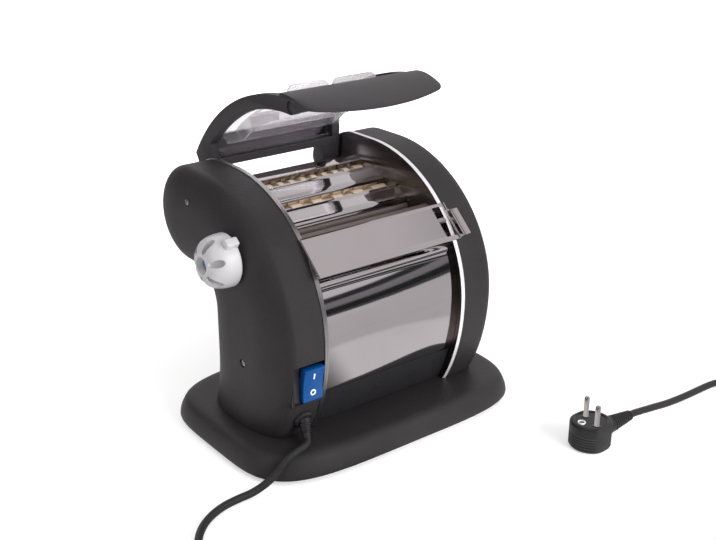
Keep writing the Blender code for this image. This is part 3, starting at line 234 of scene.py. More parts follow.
finish = {
    "shell": mouldedBlack(
        "texturedShell", (0.012, 0.0107, 0.0112), (0.031, 0.0278, 0.029), 0.46, 1100, 0.00045
    ),
    "lidBlack": mouldedBlack(
        "lidShell", (0.022, 0.019, 0.0214), (0.034, 0.0302, 0.0332), 0.42, 2000, 0.00018
    ),
    "plug": mouldedBlack("plugShell", (0.01, 0.01, 0.01), (0.022, 0.021, 0.022), 0.38, 1800, 0.0001),
    "gloss": plainPlastic("smoothBlack", (0.012, 0.012, 0.013), (0.02, 0.019, 0.021), 0.3, 0.2),
    "cord": plainPlastic("cordSheath", (0.012, 0.012, 0.012), (0.024, 0.023, 0.024), 0.45, 0, 700),
    "rubber": plainPlastic("footRubber", (0.014, 0.014, 0.014), (0.03, 0.029, 0.029), 0.82, 0, 900, 0.0003),
    "nylon": plainPlastic("gearNylon", (0.6, 0.58, 0.52), (0.74, 0.72, 0.66), 0.48),
    "rocker": plainPlastic("blueRocker", (0.001, 0.044, 0.17), (0.002, 0.064, 0.23), 0.36, 0.0, 300),
    "mark": plainPlastic("whiteMark", (0.78, 0.84, 0.9), (0.9, 0.94, 0.98), 0.4),
    "cap": plainPlastic("blueCap", (0.05, 0.075, 0.17), (0.085, 0.115, 0.23), 0.35, 0.3),
    "silver": satinSilver(),
    "chrome": polishedChrome(),
    "innerWallPaintedShade": innerWallPaintedShade(),
    # painted highlight: a lighter half-metal copy of the steel that stands in for the bright line of light
    # along the right plate's edge
    "rim": turnedMetal("rimSteelPaintedHighlight", (0.78, 0.76, 0.78), (0.9, 0.88, 0.9), 0.3, 0.5),
    "steel": turnedMetal("plainSteel", (0.5, 0.49, 0.49), (0.64, 0.63, 0.63), 0.3),
    "nickel": turnedMetal("pinNickel", (0.6, 0.58, 0.54), (0.76, 0.74, 0.7), 0.2),
    "motor": turnedMetal("motorCasing", (0.36, 0.36, 0.37), (0.5, 0.5, 0.51), 0.4),
    "rollerSteel": turnedMetal("rollerSteel", (0.13, 0.1, 0.093), (0.24, 0.195, 0.18), 0.46, 0.45),
    "bronze": turnedMetal("cutterBronze", (0.6, 0.46, 0.34), (0.88, 0.72, 0.56), 0.45, 0.25),
    "smoke": clearSmoke("clearSmoke", (0.92, 0.87, 0.93), (0.97, 0.93, 0.98), 0.42),
    "guardSmoke": clearSmoke("guardSmoke", (0.8, 0.76, 0.81), (0.88, 0.84, 0.89), 0.58),
    "darkSmoke": clearSmoke("darkSmoke", (0.04, 0.034, 0.041), (0.08, 0.069, 0.082), 0.93),
}
print("finishes made:", len(finish))

solidsShown = {  # the solids that no piece replaces
    "steel": ("base_plate", "tray_rod", "wide_scraper", "narrow_scraper", "roller_slide", "adjuster_shaft"),
    "nylon": (
        "fixed_roller_gear", "moving_roller_gear", "drive_gear", "motor_pinion", "idler_gear",
        "wide_rear_gear", "wide_front_gear", "upper_idler_gear", "narrow_rear_gear", "narrow_front_gear",
    ),
    "motor": ("gearhead", "motor"),
    "rubber": ("foot_front_left", "foot_front_right", "foot_rear_left", "foot_rear_right"),
}
for key, nodes in solidsShown.items():
    for node in nodes:
        for slot in frame["nodes"][node].material_slots:
            slot.material = finish[key]


# Making pieces
def freshStart():
    if bpy.context.mode != "OBJECT":
        bpy.ops.object.mode_set(mode="OBJECT")
    bpy.ops.object.select_all(action="DESELECT")


def pick(piece):
    freshStart()
    piece.select_set(True)
    bpy.context.view_layer.objects.active = piece


def applyPlace(piece):
    pick(piece)
    bpy.ops.object.transform_apply(location=True, rotation=True, scale=True)


def applyModifier(piece, kind, **settings):
    pick(piece)
    modifier = piece.modifiers.new(kind.lower(), kind)
    for key, value in settings.items():
        setattr(modifier, key, value)
    bpy.ops.object.modifier_apply(modifier=modifier.name)


def softenEdges(piece, width, angle=50):
    limit = math.radians(angle)
    applyModifier(piece, "BEVEL", width=width, segments=2, limit_method="ANGLE", angle_limit=limit)


def tidyMesh(piece, fillHoles=False):
    pick(piece)
    bpy.ops.object.mode_set(mode="EDIT")
    bpy.ops.mesh.select_all(action="SELECT")
    bpy.ops.mesh.remove_doubles(threshold=0.000005)
    if fillHoles:
        bpy.ops.mesh.fill_holes(sides=0)
    bpy.ops.mesh.select_all(action="SELECT")
    bpy.ops.mesh.normals_make_consistent(inside=False)
    bpy.ops.object.mode_set(mode="OBJECT")


def wrapGrid(rows, closeEnds=True):
    freshStart()
    bpy.ops.mesh.primitive_grid_add(x_subdivisions=len(rows[0]) - 1, y_subdivisions=len(rows) - 1, size=1)
    piece = bpy.context.object
    piece.data.vertices.foreach_set("co", [value for row in rows for point in row for value in point])
    tidyMesh(piece, closeEnds)
    return piece


def foldSheet(line, half, thickness, rounding=0.0):
    piece = wrapGrid([[(-half, y, z), (half, y, z)] for y, z in line], closeEnds=False)
    applyModifier(piece, "SOLIDIFY", thickness=thickness, offset=0, use_even_offset=True)
    if rounding:
        softenEdges(piece, rounding)
    tidyMesh(piece)
    return piece


def drawCurve(name, loops, closed):
    freshStart()
    curve = bpy.data.curves.new(name, "CURVE")
    curve.dimensions = "3D"
    for loop in loops:
        spline = curve.splines.new("POLY")
        spline.points.add(len(loop) - 1)
        for point, place in zip(spline.points, loop):
            point.co = (*place, 1)
        spline.use_cyclic_u = closed
    piece = bpy.data.objects.new(name, curve)
    bpy.context.scene.collection.objects.link(piece)
    pick(piece)
    return piece


def lathe(profile, steps, centre=(0, 0, 0), along="X"):
    closed = profile[0] == profile[-1]
    points = profile[:-1] if closed else profile
    drawCurve("profile", [[(radius, 0, distance) for radius, distance in points]], closed)
    bpy.ops.object.convert(target="MESH")
    piece = bpy.context.object
    bpy.ops.object.mode_set(mode="EDIT")
    bpy.ops.mesh.select_all(action="SELECT")
    bpy.ops.mesh.spin(steps=steps, angle=math.tau, center=(0, 0, 0), axis=(0, 0, 1))
    bpy.ops.object.mode_set(mode="OBJECT")
    tidyMesh(piece)
    turns = {"X": (0, math.pi / 2, 0), "Y": (-math.pi / 2, 0, 0), "Z": (0, 0, 0)}
    piece.rotation_euler = turns[along]
    piece.location = centre
    return piece


def rod(radius, start, end):
    return [(0, start), (radius, start), (radius, end), (0, end)]


def ring(inner, outer, start, end):
    return [(inner, start), (inner, end), (outer, end), (outer, start), (inner, start)]


def groove(radius, start, depth, slope, width, step=0.0):
    bottom, end = radius - depth, start - width
    return [(radius, start), (bottom, start - slope), (bottom, end + slope), (radius + step, end)]


def flatShape(outline, thickness, distance, rounding=0.0, holes=(), plane="YZ"):
    piece = drawCurve("outline", [[(a, b, 0) for a, b in loop] for loop in (outline, *holes)], True)
    piece.data.dimensions = "2D"
    piece.data.fill_mode = "BOTH"
    piece.data.extrude = thickness / 2
    bpy.ops.object.convert(target="MESH")
    piece = bpy.context.object
    tidyMesh(piece)
    if rounding:
        softenEdges(piece, rounding, 60)
    turns = {
        "YZ": Matrix(((0, 0, 1, distance), (1, 0, 0, 0), (0, 1, 0, 0), (0, 0, 0, 1))),
        "XZ": Matrix(((1, 0, 0, 0), (0, 0, -1, distance), (0, 1, 0, 0), (0, 0, 0, 1))),
    }
    piece.matrix_world = turns[plane]
    return piece


def roundedBox(low, high, rounding=0.0, segments=3):
    freshStart()
    low, high = Vector(low), Vector(high)
    bpy.ops.mesh.primitive_cube_add(size=1, location=(low + high) / 2)
    piece = bpy.context.object
    piece.scale = high - low
    bpy.ops.object.transform_apply(location=False, rotation=False, scale=True)
    if rounding:
        applyModifier(piece, "BEVEL", width=rounding, segments=segments)
    return piece


past = 0.02  # how far a cutter reaches past what it cuts


def carve(piece, cutter):
    applyPlace(piece)
    applyPlace(cutter)
    applyModifier(piece, "BOOLEAN", operation="DIFFERENCE", solver="EXACT", object=cutter)
    bpy.data.objects.remove(cutter)


def settle(piece, name, body, key, node=None, sharp=32):
    piece.location = piece.location + shift
    applyPlace(piece)
    bpy.ops.object.shade_smooth_by_angle(angle=math.radians(sharp))
    piece.name = name
    piece.data.name = name
    piece.data.materials.clear()
    piece.data.materials.append(finish[key])
    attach(piece, body)
    if node:
        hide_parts(node)
    return piece


def spread(first, last, steps):
    return [first + (last - first) * i / steps for i in range(steps + 1)]


def circle(radius, steps, centre=(0, 0), start=0.0, sweep=math.tau):
    turns = spread(0, sweep, steps)
    if abs(sweep - math.tau) < 0.0001:
        turns.pop()
    return [
        (centre[0] + radius * math.cos(start + turn), centre[1] + radius * math.sin(start + turn))
        for turn in turns
    ]


# The side profile, as (Y, Z) from the front foot over the top to the back foot
side = {
    "frontCentre": (0.06, 0.1145), "reach": 0.138, "rise": 0.128, "drop": 0.16,
    "nose": (0.09, 0.1965), "noseRadius": 0.046, "throatY": 0.071, "throatRadius": 0.028,
    "wallTop": 0.08, "flare": 0.01, "flareHeight": 0.056, "foot": 0.0253,
    "frontSteps": 28, "topSteps": 48, "noseSteps": 56, "throatSteps": 24, "backSteps": 20,
}


def frontAt(z):
    rise = side["rise"] if z > side["frontCentre"][1] else side["drop"]
    share = (z - side["frontCentre"][1]) / rise
    return side["frontCentre"][0] - side["reach"] * math.sqrt(1 - share * share)


def backAt(z):
    wallY = side["throatY"] - side["throatRadius"]
    if z >= side["wallTop"]:
        return wallY
    return wallY + side["flare"] * ((side["wallTop"] - z) / side["flareHeight"]) ** 2


def sideOutline(foot, inset):
    cy, cz = side["frontCentre"]
    topZ = side["nose"][1] + side["noseRadius"]
    throatZ = side["nose"][1] - side["noseRadius"] - side["throatRadius"]
    points = [(frontAt(z), z) for z in spread(foot, cz, side["frontSteps"])[:-1]]
    for turn in spread(0, math.pi / 2, side["topSteps"]):
        points.append((cy - side["reach"] * math.cos(turn), cz + (topZ - cz) * math.sin(turn)))
    points += circle(side["noseRadius"], side["noseSteps"], side["nose"], math.pi / 2, -math.pi)
    throat = (side["throatY"], throatZ)
    points += circle(side["throatRadius"], side["throatSteps"], throat, math.pi / 2, math.pi / 2)
    points += [(backAt(z), z) for z in spread(throatZ, foot, side["backSteps"])[1:]]
    if not inset:
        return points
    moved = []
    for point, before, after in zip(points, [points[0], *points], [*points[1:], points[-1]]):
        along = (Vector(after) - Vector(before)).normalized()
        moved.append((point[0] + along.y * inset, point[1] - along.x * inset))
    return moved


cord = {
    "radius": 0.0034, "coilRadius": 0.041, "coilCentre": (-0.208, -0.212), "coilTurns": 3.25,
    "climbTurns": 0.5, "turnGap": 0.0005, "lift": 0.0001, "pointsPerTurn": 40, "routeStep": 0.004,
    "tailStep": 0.006, "glandX": -0.0965, "glandZ": 0.0445, "glandFlange": 0.003, "sleeveLength": 0.011,
    "lean": (-0.35, 0, -0.9), "lead": 0.003,
}
cordRoute = (
    (-0.1018, -0.0788, 0.0297), (-0.106, -0.0822, 0.0291), (-0.1125, -0.0848, 0.0291),
    (-0.1208, -0.0866, 0.0286), (-0.13, -0.0872, 0.025), (-0.14, -0.087, 0.016), (-0.151, -0.086, 0.009),
    (-0.164, -0.0848, 0.0046), (-0.178, -0.0842, 0.0036), (-0.193, -0.086, 0.0035),
    (-0.208, -0.0915, 0.0035), (-0.222, -0.101, 0.0035), (-0.234, -0.115, 0.0035),
    (-0.243, -0.133, 0.0035), (-0.248, -0.153, 0.0035), (-0.249, -0.17, 0.0035),
)
tailRoute = (
    (-0.185, -0.2535, 0.0112), (-0.165, -0.255, 0.0092), (-0.145, -0.259, 0.0055), (-0.12, -0.268, 0.0037),
    (-0.09, -0.282, 0.0035), (-0.05, -0.301, 0.0035), (0.0, -0.327, 0.0035), (0.04, -0.352, 0.0035),
    (0.068, -0.367, 0.0035), (0.095, -0.3715, 0.0035), (0.123, -0.366, 0.0035), (0.155, -0.35, 0.0035),
    (0.2, -0.323, 0.0035), (0.25, -0.293, 0.0035), (0.292, -0.269, 0.0035), (0.317, -0.258, 0.0035),
    (0.333, -0.247, 0.0035), (0.3393, -0.23, 0.0035), (0.337, -0.213, 0.0035), (0.325, -0.2035, 0.0035),
    (0.31, -0.2005, 0.0035), (0.275, -0.2005, 0.0037), (0.245, -0.2007, 0.0052), (0.22, -0.2009, 0.0085),
)
plug = {
    "centre": (0.13, -0.201), "radius": 0.0195, "height": 0.0265, "flat": 0.0165, "edge": 0.003,
    "dishRadius": 0.015, "dishSlope": 0.0004, "dishDepth": 0.0016, "grips": 5, "gripTop": 0.016,
    "gripPitch": 0.0026, "grip": {"depth": 0.0006, "slope": 0.0005, "width": 0.0018},
    "neckRadius": 0.0078, "neckLength": 0.036, "neckZ": 0.012, "neckStart": 0.86, "neckFoot": 0.0022,
    "neckFootLength": 0.002, "tipRadius": 0.0046, "tipGap": 0.0002, "ribs": 9, "ribsStart": 0.0012,
    "ribsEnd": 0.03, "ribPitch": 0.003,
    "rib": {"depth": 0.0009, "slope": 0.0004, "width": 0.0016, "step": 0.0001},
    "pinRadius": 0.0024, "pinLength": 0.019, "pinSpacing": 0.019, "pinTurn": math.radians(73),
    "pinStep": 0.0001, "pinRoot": 0.0015,
    "pinTip": ((0, 0), (0.45, 0), (0.8, 0.0006), (1, 0.0018), (1, 0.01)),  # share of the radius, depth
    "collar": ((0.0003, 0.001), (0.0003, 0.0016), (0.0016, 0.0016), (0.0013, 0.0006), (0.0003, 0.001)),
    "earthOffset": 0.01, "earthRadius": 0.0027, "earthDepth": 0.012, "earthRing": 0.0036, "earthTop": 0.0004,
}


def glandFrame():
    y = frontAt(cord["glandZ"])
    cy, cz = side["frontCentre"]
    place = Vector((cord["glandX"], y, cord["glandZ"]))
    out = Vector((0, (y - cy) / side["reach"] ** 2, (cord["glandZ"] - cz) / side["drop"] ** 2)).normalized()
    down = (out + Vector(cord["lean"])).normalized()
    return place, out, down, place + out * cord["glandFlange"] + down * cord["sleeveLength"]


def smoothRoute(points, spacing):
    points = [Vector(point) for point in points]
    ends = [2 * points[0] - points[1], *points, 2 * points[-1] - points[-2]]
    fine = []
    for a, b, c, d in zip(ends, ends[1:], ends[2:], ends[3:]):
        for t in spread(0, 1, 12)[:-1]:
            bend = (2 * a - 5 * b + 4 * c - d) * t**2 + (3 * b - a - 3 * c + d) * t**3
            fine.append(0.5 * (2 * b + (c - a) * t + bend))
    fine.append(points[-1])
    lengths = [0]
    for first, second in zip(fine, fine[1:]):
        lengths.append(lengths[-1] + (second - first).length)
    spaced, k = [], 0
    for target in spread(0, lengths[-1], max(round(lengths[-1] / spacing), 2)):
        while k < len(fine) - 2 and lengths[k + 1] < target:
            k += 1
        share = (target - lengths[k]) / (lengths[k + 1] - lengths[k])
        spaced.append(fine[k].lerp(fine[k + 1], min(share, 1)))
    return spaced


def coilPoints():
    step = 2 * cord["radius"] + cord["turnGap"]
    turns, climbTurns = cord["coilTurns"], cord["climbTurns"]
    places = []
    for turn in spread(0, turns, round(turns * cord["pointsPerTurn"])):
        climb = min(max(turn - (turns - climbTurns) / 2, 0), climbTurns) / climbTurns
        radius = cord["coilRadius"] - step * min(turn, turns - turn)
        rise = step * (1 - math.cos(math.pi * climb)) / 2
        x, y = circle(radius, 1, cord["coilCentre"], math.pi + math.tau * turn, 0)[0]
        places.append(Vector((x, y, cord["radius"] + cord["lift"] + rise)))
    return places


def cordLine():
    _, _, down, tip = glandFrame()
    straight = 2 * cord["radius"]
    coil = coilPoints()
    headIn = (coil[1] - coil[0]).normalized()
    headOut = (coil[-1] - coil[-2]).normalized()
    first = [tip + down * cord["lead"], *cordRoute, coil[0] - headIn * straight]
    neckX = plug["centre"][0] + plug["radius"] + plug["neckLength"]
    neck = Vector((neckX, plug["centre"][1], plug["neckZ"]))
    last = [coil[-1] + headOut * straight, *tailRoute, neck + Vector((straight, 0, 0))]
    return [tip, *smoothRoute(first, cord["routeStep"]), *coil, *smoothRoute(last, cord["tailStep"]), neck]


cordPoints = [point + shift for point in cordLine()]
mainsCord = drawCurve("mainsCord", [cordPoints], False)
mainsCord.data.bevel_depth = cord["radius"]
mainsCord.data.bevel_resolution = 4
mainsCord.data.use_fill_caps = True
mainsCord.data.splines[0].use_smooth = True
mainsCord.data.materials.append(finish["cord"])
cordLength = sum((b - a).length for a, b in zip(cordPoints, cordPoints[1:]))
print("cord length", round(cordLength, 3))


def makePlugBody(earth):
    r, h, e = plug["radius"], plug["height"], plug["edge"]
    cx, cy = plug["centre"]
    dish, floorZ = plug["dishRadius"], h - plug["dishDepth"]
    profile = [(0, floorZ), (dish, floorZ), (dish + plug["dishSlope"], h), (r - e, h)]
    profile += [(r - e + e * math.sin(a), h - e + e * math.cos(a)) for a in (0.4, 0.8, 1.2, 1.57)]
    for i in range(plug["grips"]):  # grip ribs round the lower half
        z = plug["gripTop"] - i * plug["gripPitch"]
        profile += groove(r, z, **plug["grip"])
    profile += [(r, e), (r - e * 0.4, e * 0.35), (r - e, 0), (0, 0)]
    body = lathe(profile, 72, (cx, cy, 0), "Z")
    for way in (-1, 1):
        face = cy + way * plug["flat"]
        low, high = sorted((face, face + way * past))
        carve(body, roundedBox((cx - 2 * r, low, -past), (cx + 2 * r, high, h + past)))
    carve(body, lathe(rod(plug["earthRadius"], h + past, h - plug["earthDepth"]), 32, earth, "Z"))
    return settle(body, "plugBody", "housing", "plug", "plug_body", 40)


def makePlugNeck():
    neck, tip = plug["neckRadius"], plug["tipRadius"]
    start = plug["centre"][0] + plug["radius"] * plug["neckStart"]
    end = plug["centre"][0] + plug["radius"] + plug["neckLength"]
    profile = [(0, end - plug["tipGap"]), (tip, end - plug["tipGap"])]
    for i in range(plug["ribs"]):  # flexible ribs of the strain relief
        x = end - plug["ribsStart"] - (i + 0.1) * plug["ribPitch"]
        size = tip + (neck - tip) * (i + 1) / plug["ribs"]
        profile += groove(size, x, **plug["rib"])
    foot, footEnd = neck + plug["neckFoot"], start + plug["neckFootLength"]
    profile += [(neck, end - plug["ribsEnd"]), (foot, footEnd), (foot, start), (0, start)]
    piece = lathe(profile, 40, (0, plug["centre"][1], plug["neckZ"]))
    return settle(piece, "plugNeck", "housing", "plug", None, 40)


def makePlug():
    h, p, step = plug["height"], plug["pinRadius"], plug["pinStep"]
    centre = Vector((*plug["centre"], 0))
    across = Vector((math.cos(plug["pinTurn"]), math.sin(plug["pinTurn"]), 0))
    earth = centre + Vector((-across.y, across.x, 0)) * plug["earthOffset"]
    made = [makePlugBody(earth)]
    washer = ring(plug["earthRadius"], plug["earthRing"], h - plug["earthTop"], h - plug["dishDepth"])
    settle(lathe(washer, 32, earth, "Z"), "plugEarthRing", "housing", "mark", None, 40)
    made.append(makePlugNeck())
    top, root = h + plug["pinLength"], h - plug["pinRoot"]
    pinProfile = [(p * share, top - depth) for share, depth in plug["pinTip"]]
    pinProfile += [(p - step, pinProfile[-1][1] - step), (p - step, root), (0, root)]
    collarProfile = [(p + out, h - depth) for out, depth in plug["collar"]]
    for word, way in (("near", -1), ("far", 1)):
        place = centre + across * way * plug["pinSpacing"] / 2
        pin = lathe(pinProfile, 28, place, "Z")
        made.append(settle(pin, "plugPin_" + word, "housing", "nickel", "plug_pin_" + word, 40))
        settle(lathe(collarProfile, 28, place, "Z"), "plugCollar_" + word, "housing", "gloss", None, 40)
    return made


plugPieces = makePlug()
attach(mainsCord, "housing")
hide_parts("power_cord", "cord_coil", "cord_tail")
print("cord and plug laid")

base = {
    "halfLength": 0.153, "halfWidth": 0.1045, "power": 4.4, "steps": 176,
    "inner": ((0.003, 0.004), (0.0066, 0.0185), (0.017, 0.022)),
    "outer": (
        (0.0012, 0.004), (0.0003, 0.0046), (0, 0.0056), (0.0003, 0.0085), (0.0011, 0.012),
        (0.0023, 0.0155), (0.0036, 0.0185), (0.0047, 0.0206), (0.006, 0.0222), (0.0074, 0.0233),
        (0.0095, 0.0242), (0.0117, 0.0247), (0.0145, 0.025), (0.02, 0.025),
    ),
}


def baseRing(inset, z):
    points = []
    for turn in spread(0, math.tau, base["steps"]):
        c, s = math.cos(turn), math.sin(turn)
        x = (base["halfLength"] - inset) * math.copysign(abs(c) ** (2 / base["power"]), c)
        y = (base["halfWidth"] - inset) * math.copysign(abs(s) ** (2 / base["power"]), s)
        points.append((x, y, z))
    return points


baseShell = wrapGrid([baseRing(*place) for place in (*reversed(base["inner"]), *base["outer"])])
settle(baseShell, "baseShell", "housing", "shell", "base_shell", 40)
print("base made")

# Each shaft's place, as (Y, Z)
shafts = {
    "fixed": (-0.01785, 0.1745), "moving": (0.00385, 0.1745), "wideFront": (0.0202, 0.1926),
    "wideRear": (0.0388, 0.1926), "narrowFront": (0.0567, 0.2032), "narrowRear": (0.0753, 0.2032),
    "drive": (-0.01, 0.133393), "pinion": (-0.018, 0.093895), "idler": (0.025413, 0.168121),
    "upperIdler": (0.060786, 0.185037), "knob": (-0.0035, 0.185), "hinge": (0.122, 0.214),
}
journal = {"radius": 0.004, "play": 0.0003, "travel": 0.002, "hingeBore": 0.0033}
plate = {
    "inside": 0.077, "thickness": 0.0024, "proud": 0.0008, "edge": 0.0006,
    "rimDepth": 0.001, "rimWidth": 0.0018, "rimEdge": 0.0003,
}
plateOutside = plate["inside"] + plate["thickness"]


def makePlate(name, node, sign, spindles, edgeFinish):
    foot, proud, size = side["foot"], plate["proud"], journal["radius"] + journal["play"]
    rimOutline = sideOutline(foot, -proud)
    outline = [(rimOutline[0][0], foot), *rimOutline[1:-1], (rimOutline[-1][0], foot)]
    bores = ("fixed", "wideFront", "wideRear", "narrowFront", "narrowRear")
    holes = [circle(size, 24, shafts[key]) for key in bores]
    y, z = shafts["moving"]
    opening = circle(size, 12, (y + journal["travel"], z), -math.pi / 2, math.pi)
    opening += circle(size, 12, (y, z), math.pi / 2, math.pi)
    holes += [opening, circle(journal["hingeBore"], 20, shafts["hinge"])]
    holes += [circle(size, 24, shafts[key]) for key in spindles]
    middle = sign * (plate["inside"] + plate["thickness"] / 2)
    piece = flatShape(outline, plate["thickness"], middle, plate["edge"], holes)
    settle(piece, name, "housing", "chrome", node)
    piece.data.materials.append(finish["innerWallPaintedShade"])
    piece.data.materials.append(finish[edgeFinish])
    for face in piece.data.polygons:
        if -sign * face.normal.x > 0.95:
            face.material_index = 1
        elif abs(face.normal.x) < 0.95:
            face.material_index = 2
    hole = sideOutline(foot + plate["rimDepth"], plate["rimDepth"] - proud)
    middle = sign * (plateOutside + plate["rimWidth"] / 2)
    rim = flatShape(rimOutline, plate["rimWidth"], middle, plate["rimEdge"], [hole])
    settle(rim, name.replace("side", "rim"), "housing", edgeFinish)


makePlate("sidePlateLeft", "left_side_plate", -1, (), "steel")
# painted highlight: this plate's edges and rim take the lighter rim steel, while the left plate keeps plain
# steel
makePlate("sidePlateRight", "right_side_plate", 1, ("drive", "idler", "upperIdler", "pinion"), "rim")

cover = {
    "start": 0.0797, "crownStart": 0.109, "crownDepth": 0.0192, "crownInset": 0.042, "wall": 0.0025,
    "lip": ((0, 0.0007), (0.0002, 0.0002), (0.0008, 0)), "straightSteps": 6, "crownSteps": 18,
    "cutBelow": -0.02,
    "recess": (-0.113, -0.0802), "recessHeight": 0.04, "switchZ": 0.083, "recessDepth": 0.0045,
    "knobHole": 0.0036, "glandHole": 0.0059,
}
crownEnd = cover["crownStart"] + cover["crownDepth"]
screw = {
    "places": ((0.068, 0.217), (-0.018, 0.09)), "well": 0.0038, "wellDepth": 0.0016, "turn": 0.4,
    "head": ((0, 0.0003), (0.0018, 0.0004), (0.0029, 0.0009), (0.0029, 0.0017), (0, 0.0017)),
    "slot": (0.0006, 0.002, 0.0004),
}


def coverShell(sign):
    stations = [(cover["start"] + step, inset) for step, inset in cover["lip"]]
    stations += [(x, 0) for x in spread(cover["start"], cover["crownStart"], cover["straightSteps"])[1:]]
    for turn in spread(0, math.pi / 2, cover["crownSteps"])[1:]:
        inset = cover["crownInset"] * (1 - math.cos(turn))
        stations.append((cover["crownStart"] + cover["crownDepth"] * math.sin(turn), inset))
    outlines = [(x, sideOutline(cover["cutBelow"], inset)) for x, inset in stations]
    shell = wrapGrid([[(sign * x, y, z) for y, z in outline] for x, outline in outlines], closeEnds=False)
    pick(shell)
    bpy.ops.object.mode_set(mode="EDIT")
    work = bmesh.from_edit_mesh(shell.data)
    for edge in work.edges:
        atCrown = all(abs(corner.co.x - sign * crownEnd) < 0.00002 for corner in edge.verts)
        edge.select = atCrown and edge.is_boundary
    bmesh.update_edit_mesh(shell.data)
    bpy.ops.mesh.edge_face_add()
    bpy.ops.mesh.select_all(action="SELECT")
    bpy.ops.mesh.bisect(plane_co=(0, 0, side["foot"]), plane_no=(0, 0, 1), clear_inner=True)
    bpy.ops.mesh.select_all(action="SELECT")
    bpy.ops.mesh.normals_make_consistent(inside=False)
    bpy.ops.object.mode_set(mode="OBJECT")
    crownFace = max(shell.data.polygons, key=lambda face: face.area)
    if crownFace.normal.x * sign < 0:
        shell.data.flip_normals()
    applyModifier(shell, "SOLIDIFY", thickness=cover["wall"], offset=-1, use_even_offset=False)
    return shell


def cutLeftOpenings(shell):
    carve(shell, lathe(rod(cover["knobHole"], -cover["start"], -crownEnd - past), 32, (0, *shafts["knob"])))
    faceY, z, half = frontAt(cover["switchZ"]), cover["switchZ"], cover["recessHeight"] / 2
    left, right = cover["recess"]
    carve(shell, roundedBox((left, faceY - past, z - half), (right, faceY + past, z + half)))
    place, out, _, _ = glandFrame()
    hole = lathe(rod(cover["glandHole"], past, -past), 32, place, "Z")
    hole.rotation_euler = out.to_track_quat("Z", "X").to_euler()
    carve(shell, hole)


def makeCover(name, node, sign):
    shell = coverShell(sign)
    if sign < 0:
        cutLeftOpenings(shell)
    x = sign * crownEnd
    for y, z in screw["places"]:
        well = rod(screw["well"], x + sign * past, x - sign * screw["wellDepth"])
        carve(shell, lathe(well, 28, (0, y, z)))
    settle(shell, name, "housing", "shell", node)
    half = Vector(screw["slot"])
    for i, (y, z) in enumerate(screw["places"]):
        head = lathe([(radius, x - sign * depth) for radius, depth in screw["head"]], 28, (0, y, z))
        for turn in (screw["turn"], screw["turn"] + math.pi / 2):
            bar = roundedBox(-half, half)
            bar.location = (x - sign * half.z, y, z)
            bar.rotation_euler = (turn, 0, 0)
            carve(head, bar)
        settle(head, f"{name}Screw{i + 1}", "housing", "steel", None, 40)


makeCover("coverLeft", "left_cover", -1)
makeCover("coverRight", "right_cover", 1)
print("plates and covers made")

# Sheet metal between the plates
sheets = {
    "half": 0.0767, "thickness": 0.0012, "edge": 0.0002, "panelInset": 0.0045, "panelBottom": 0.0645,
    "panelTop": 0.1615, "panelBend": 0.006, "panelFlange": 0.011, "apronInset": 0.0085, "apronLap": 0.008,
    "apronThickness": 0.0022, "rearInset": 0.006, "chuteFront": (-0.052, 0.158), "chuteBack": (0.027, 0.1295),
    "rearCorner": 0.007, "deckThickness": 0.001, "deckCorner": 0.003,
    "rail": (0.0064, 0.1886), "railRadius": 0.0042, "railThickness": 0.0008,
}
deck = {
    "rearStrip": ("rear_strip", "chrome", (
        (0.0765, 0.2185), (0.0845, 0.2207), (0.0905, 0.2215), (0.0955, 0.2185), (0.097, 0.2125),
        (0.097, 0.1975),
    )),
    "guideBarRear": ("guide_bar_rear", "chrome", (
        (0.0395, 0.2055), (0.0402, 0.2078), (0.0435, 0.2102), (0.0555, 0.2148), (0.0572, 0.2172),
    )),
    "guideBarMiddle": ("guide_bar_middle", "chrome", (
        (0.0035, 0.1925), (0.004, 0.1972), (0.0075, 0.1998), (0.0195, 0.204), (0.0213, 0.2062),
    )),
    "guideBarFront": ("guide_bar_front", "rollerSteel", (
        (-0.0395, 0.1935), (-0.035, 0.1948), (-0.03, 0.198), (-0.024, 0.1986), (-0.0205, 0.196),
        (-0.0202, 0.1918),
    )),
}


def roundCorners(line, size, steps=5):
    made = [line[0]]
    for before, corner, after in zip(line, line[1:], line[2:]):
        corner, before, after = Vector(corner), Vector(before), Vector(after)
        reach = min(size, (before - corner).length * 0.45, (after - corner).length * 0.45)
        start = corner + (before - corner).normalized() * reach
        end = corner + (after - corner).normalized() * reach
        for t in spread(0, 1, steps):
            point = start * (1 - t) ** 2 + corner * 2 * t * (1 - t) + end * t * t
            made.append((point.x, point.y))
    return [*made, line[-1]]


def frontPanelLine():
    bend, high = sheets["panelBend"], sheets["panelTop"]
    line = [(frontAt(z) + sheets["panelInset"], z) for z in spread(sheets["panelBottom"], high, 40)]
    middle = (line[-1][0] + bend + bend / 2, high)
    line += circle(bend * 1.5, 10, middle, math.pi, -math.pi / 2)[1:]
    return [*line, (line[-1][0] + sheets["panelFlange"], line[-1][1])]


def apronLine():
    low = side["foot"] + sheets["apronThickness"] / 4
    high = sheets["panelBottom"] + sheets["apronLap"]
    insets = spread((sheets["apronInset"] + sheets["panelInset"]) / 2, sheets["apronInset"], 24)
    return [(frontAt(z) + inset, z) for z, inset in zip(spread(low, high, 24), insets)]


def rearPanelLine():
    inset, corner = sheets["rearInset"], sheets["rearCorner"]
    back = side["throatY"] - side["throatRadius"] - inset
    middle = (back - corner, sheets["chuteBack"][1] - 2 * corner)
    line = [sheets["chuteFront"], sheets["chuteBack"], *circle(corner, 8, middle, math.pi / 3, -math.pi / 3)]
    foot = side["foot"] + sheets["thickness"] / 4
    return line + [(backAt(z) - inset, z) for z in spread(side["wallTop"], foot, 16)]


def makeSheet(name, node, key, line, thickness, edge=sheets["edge"]):
    settle(foldSheet(line, sheets["half"], thickness, edge), name, "housing", key, node)


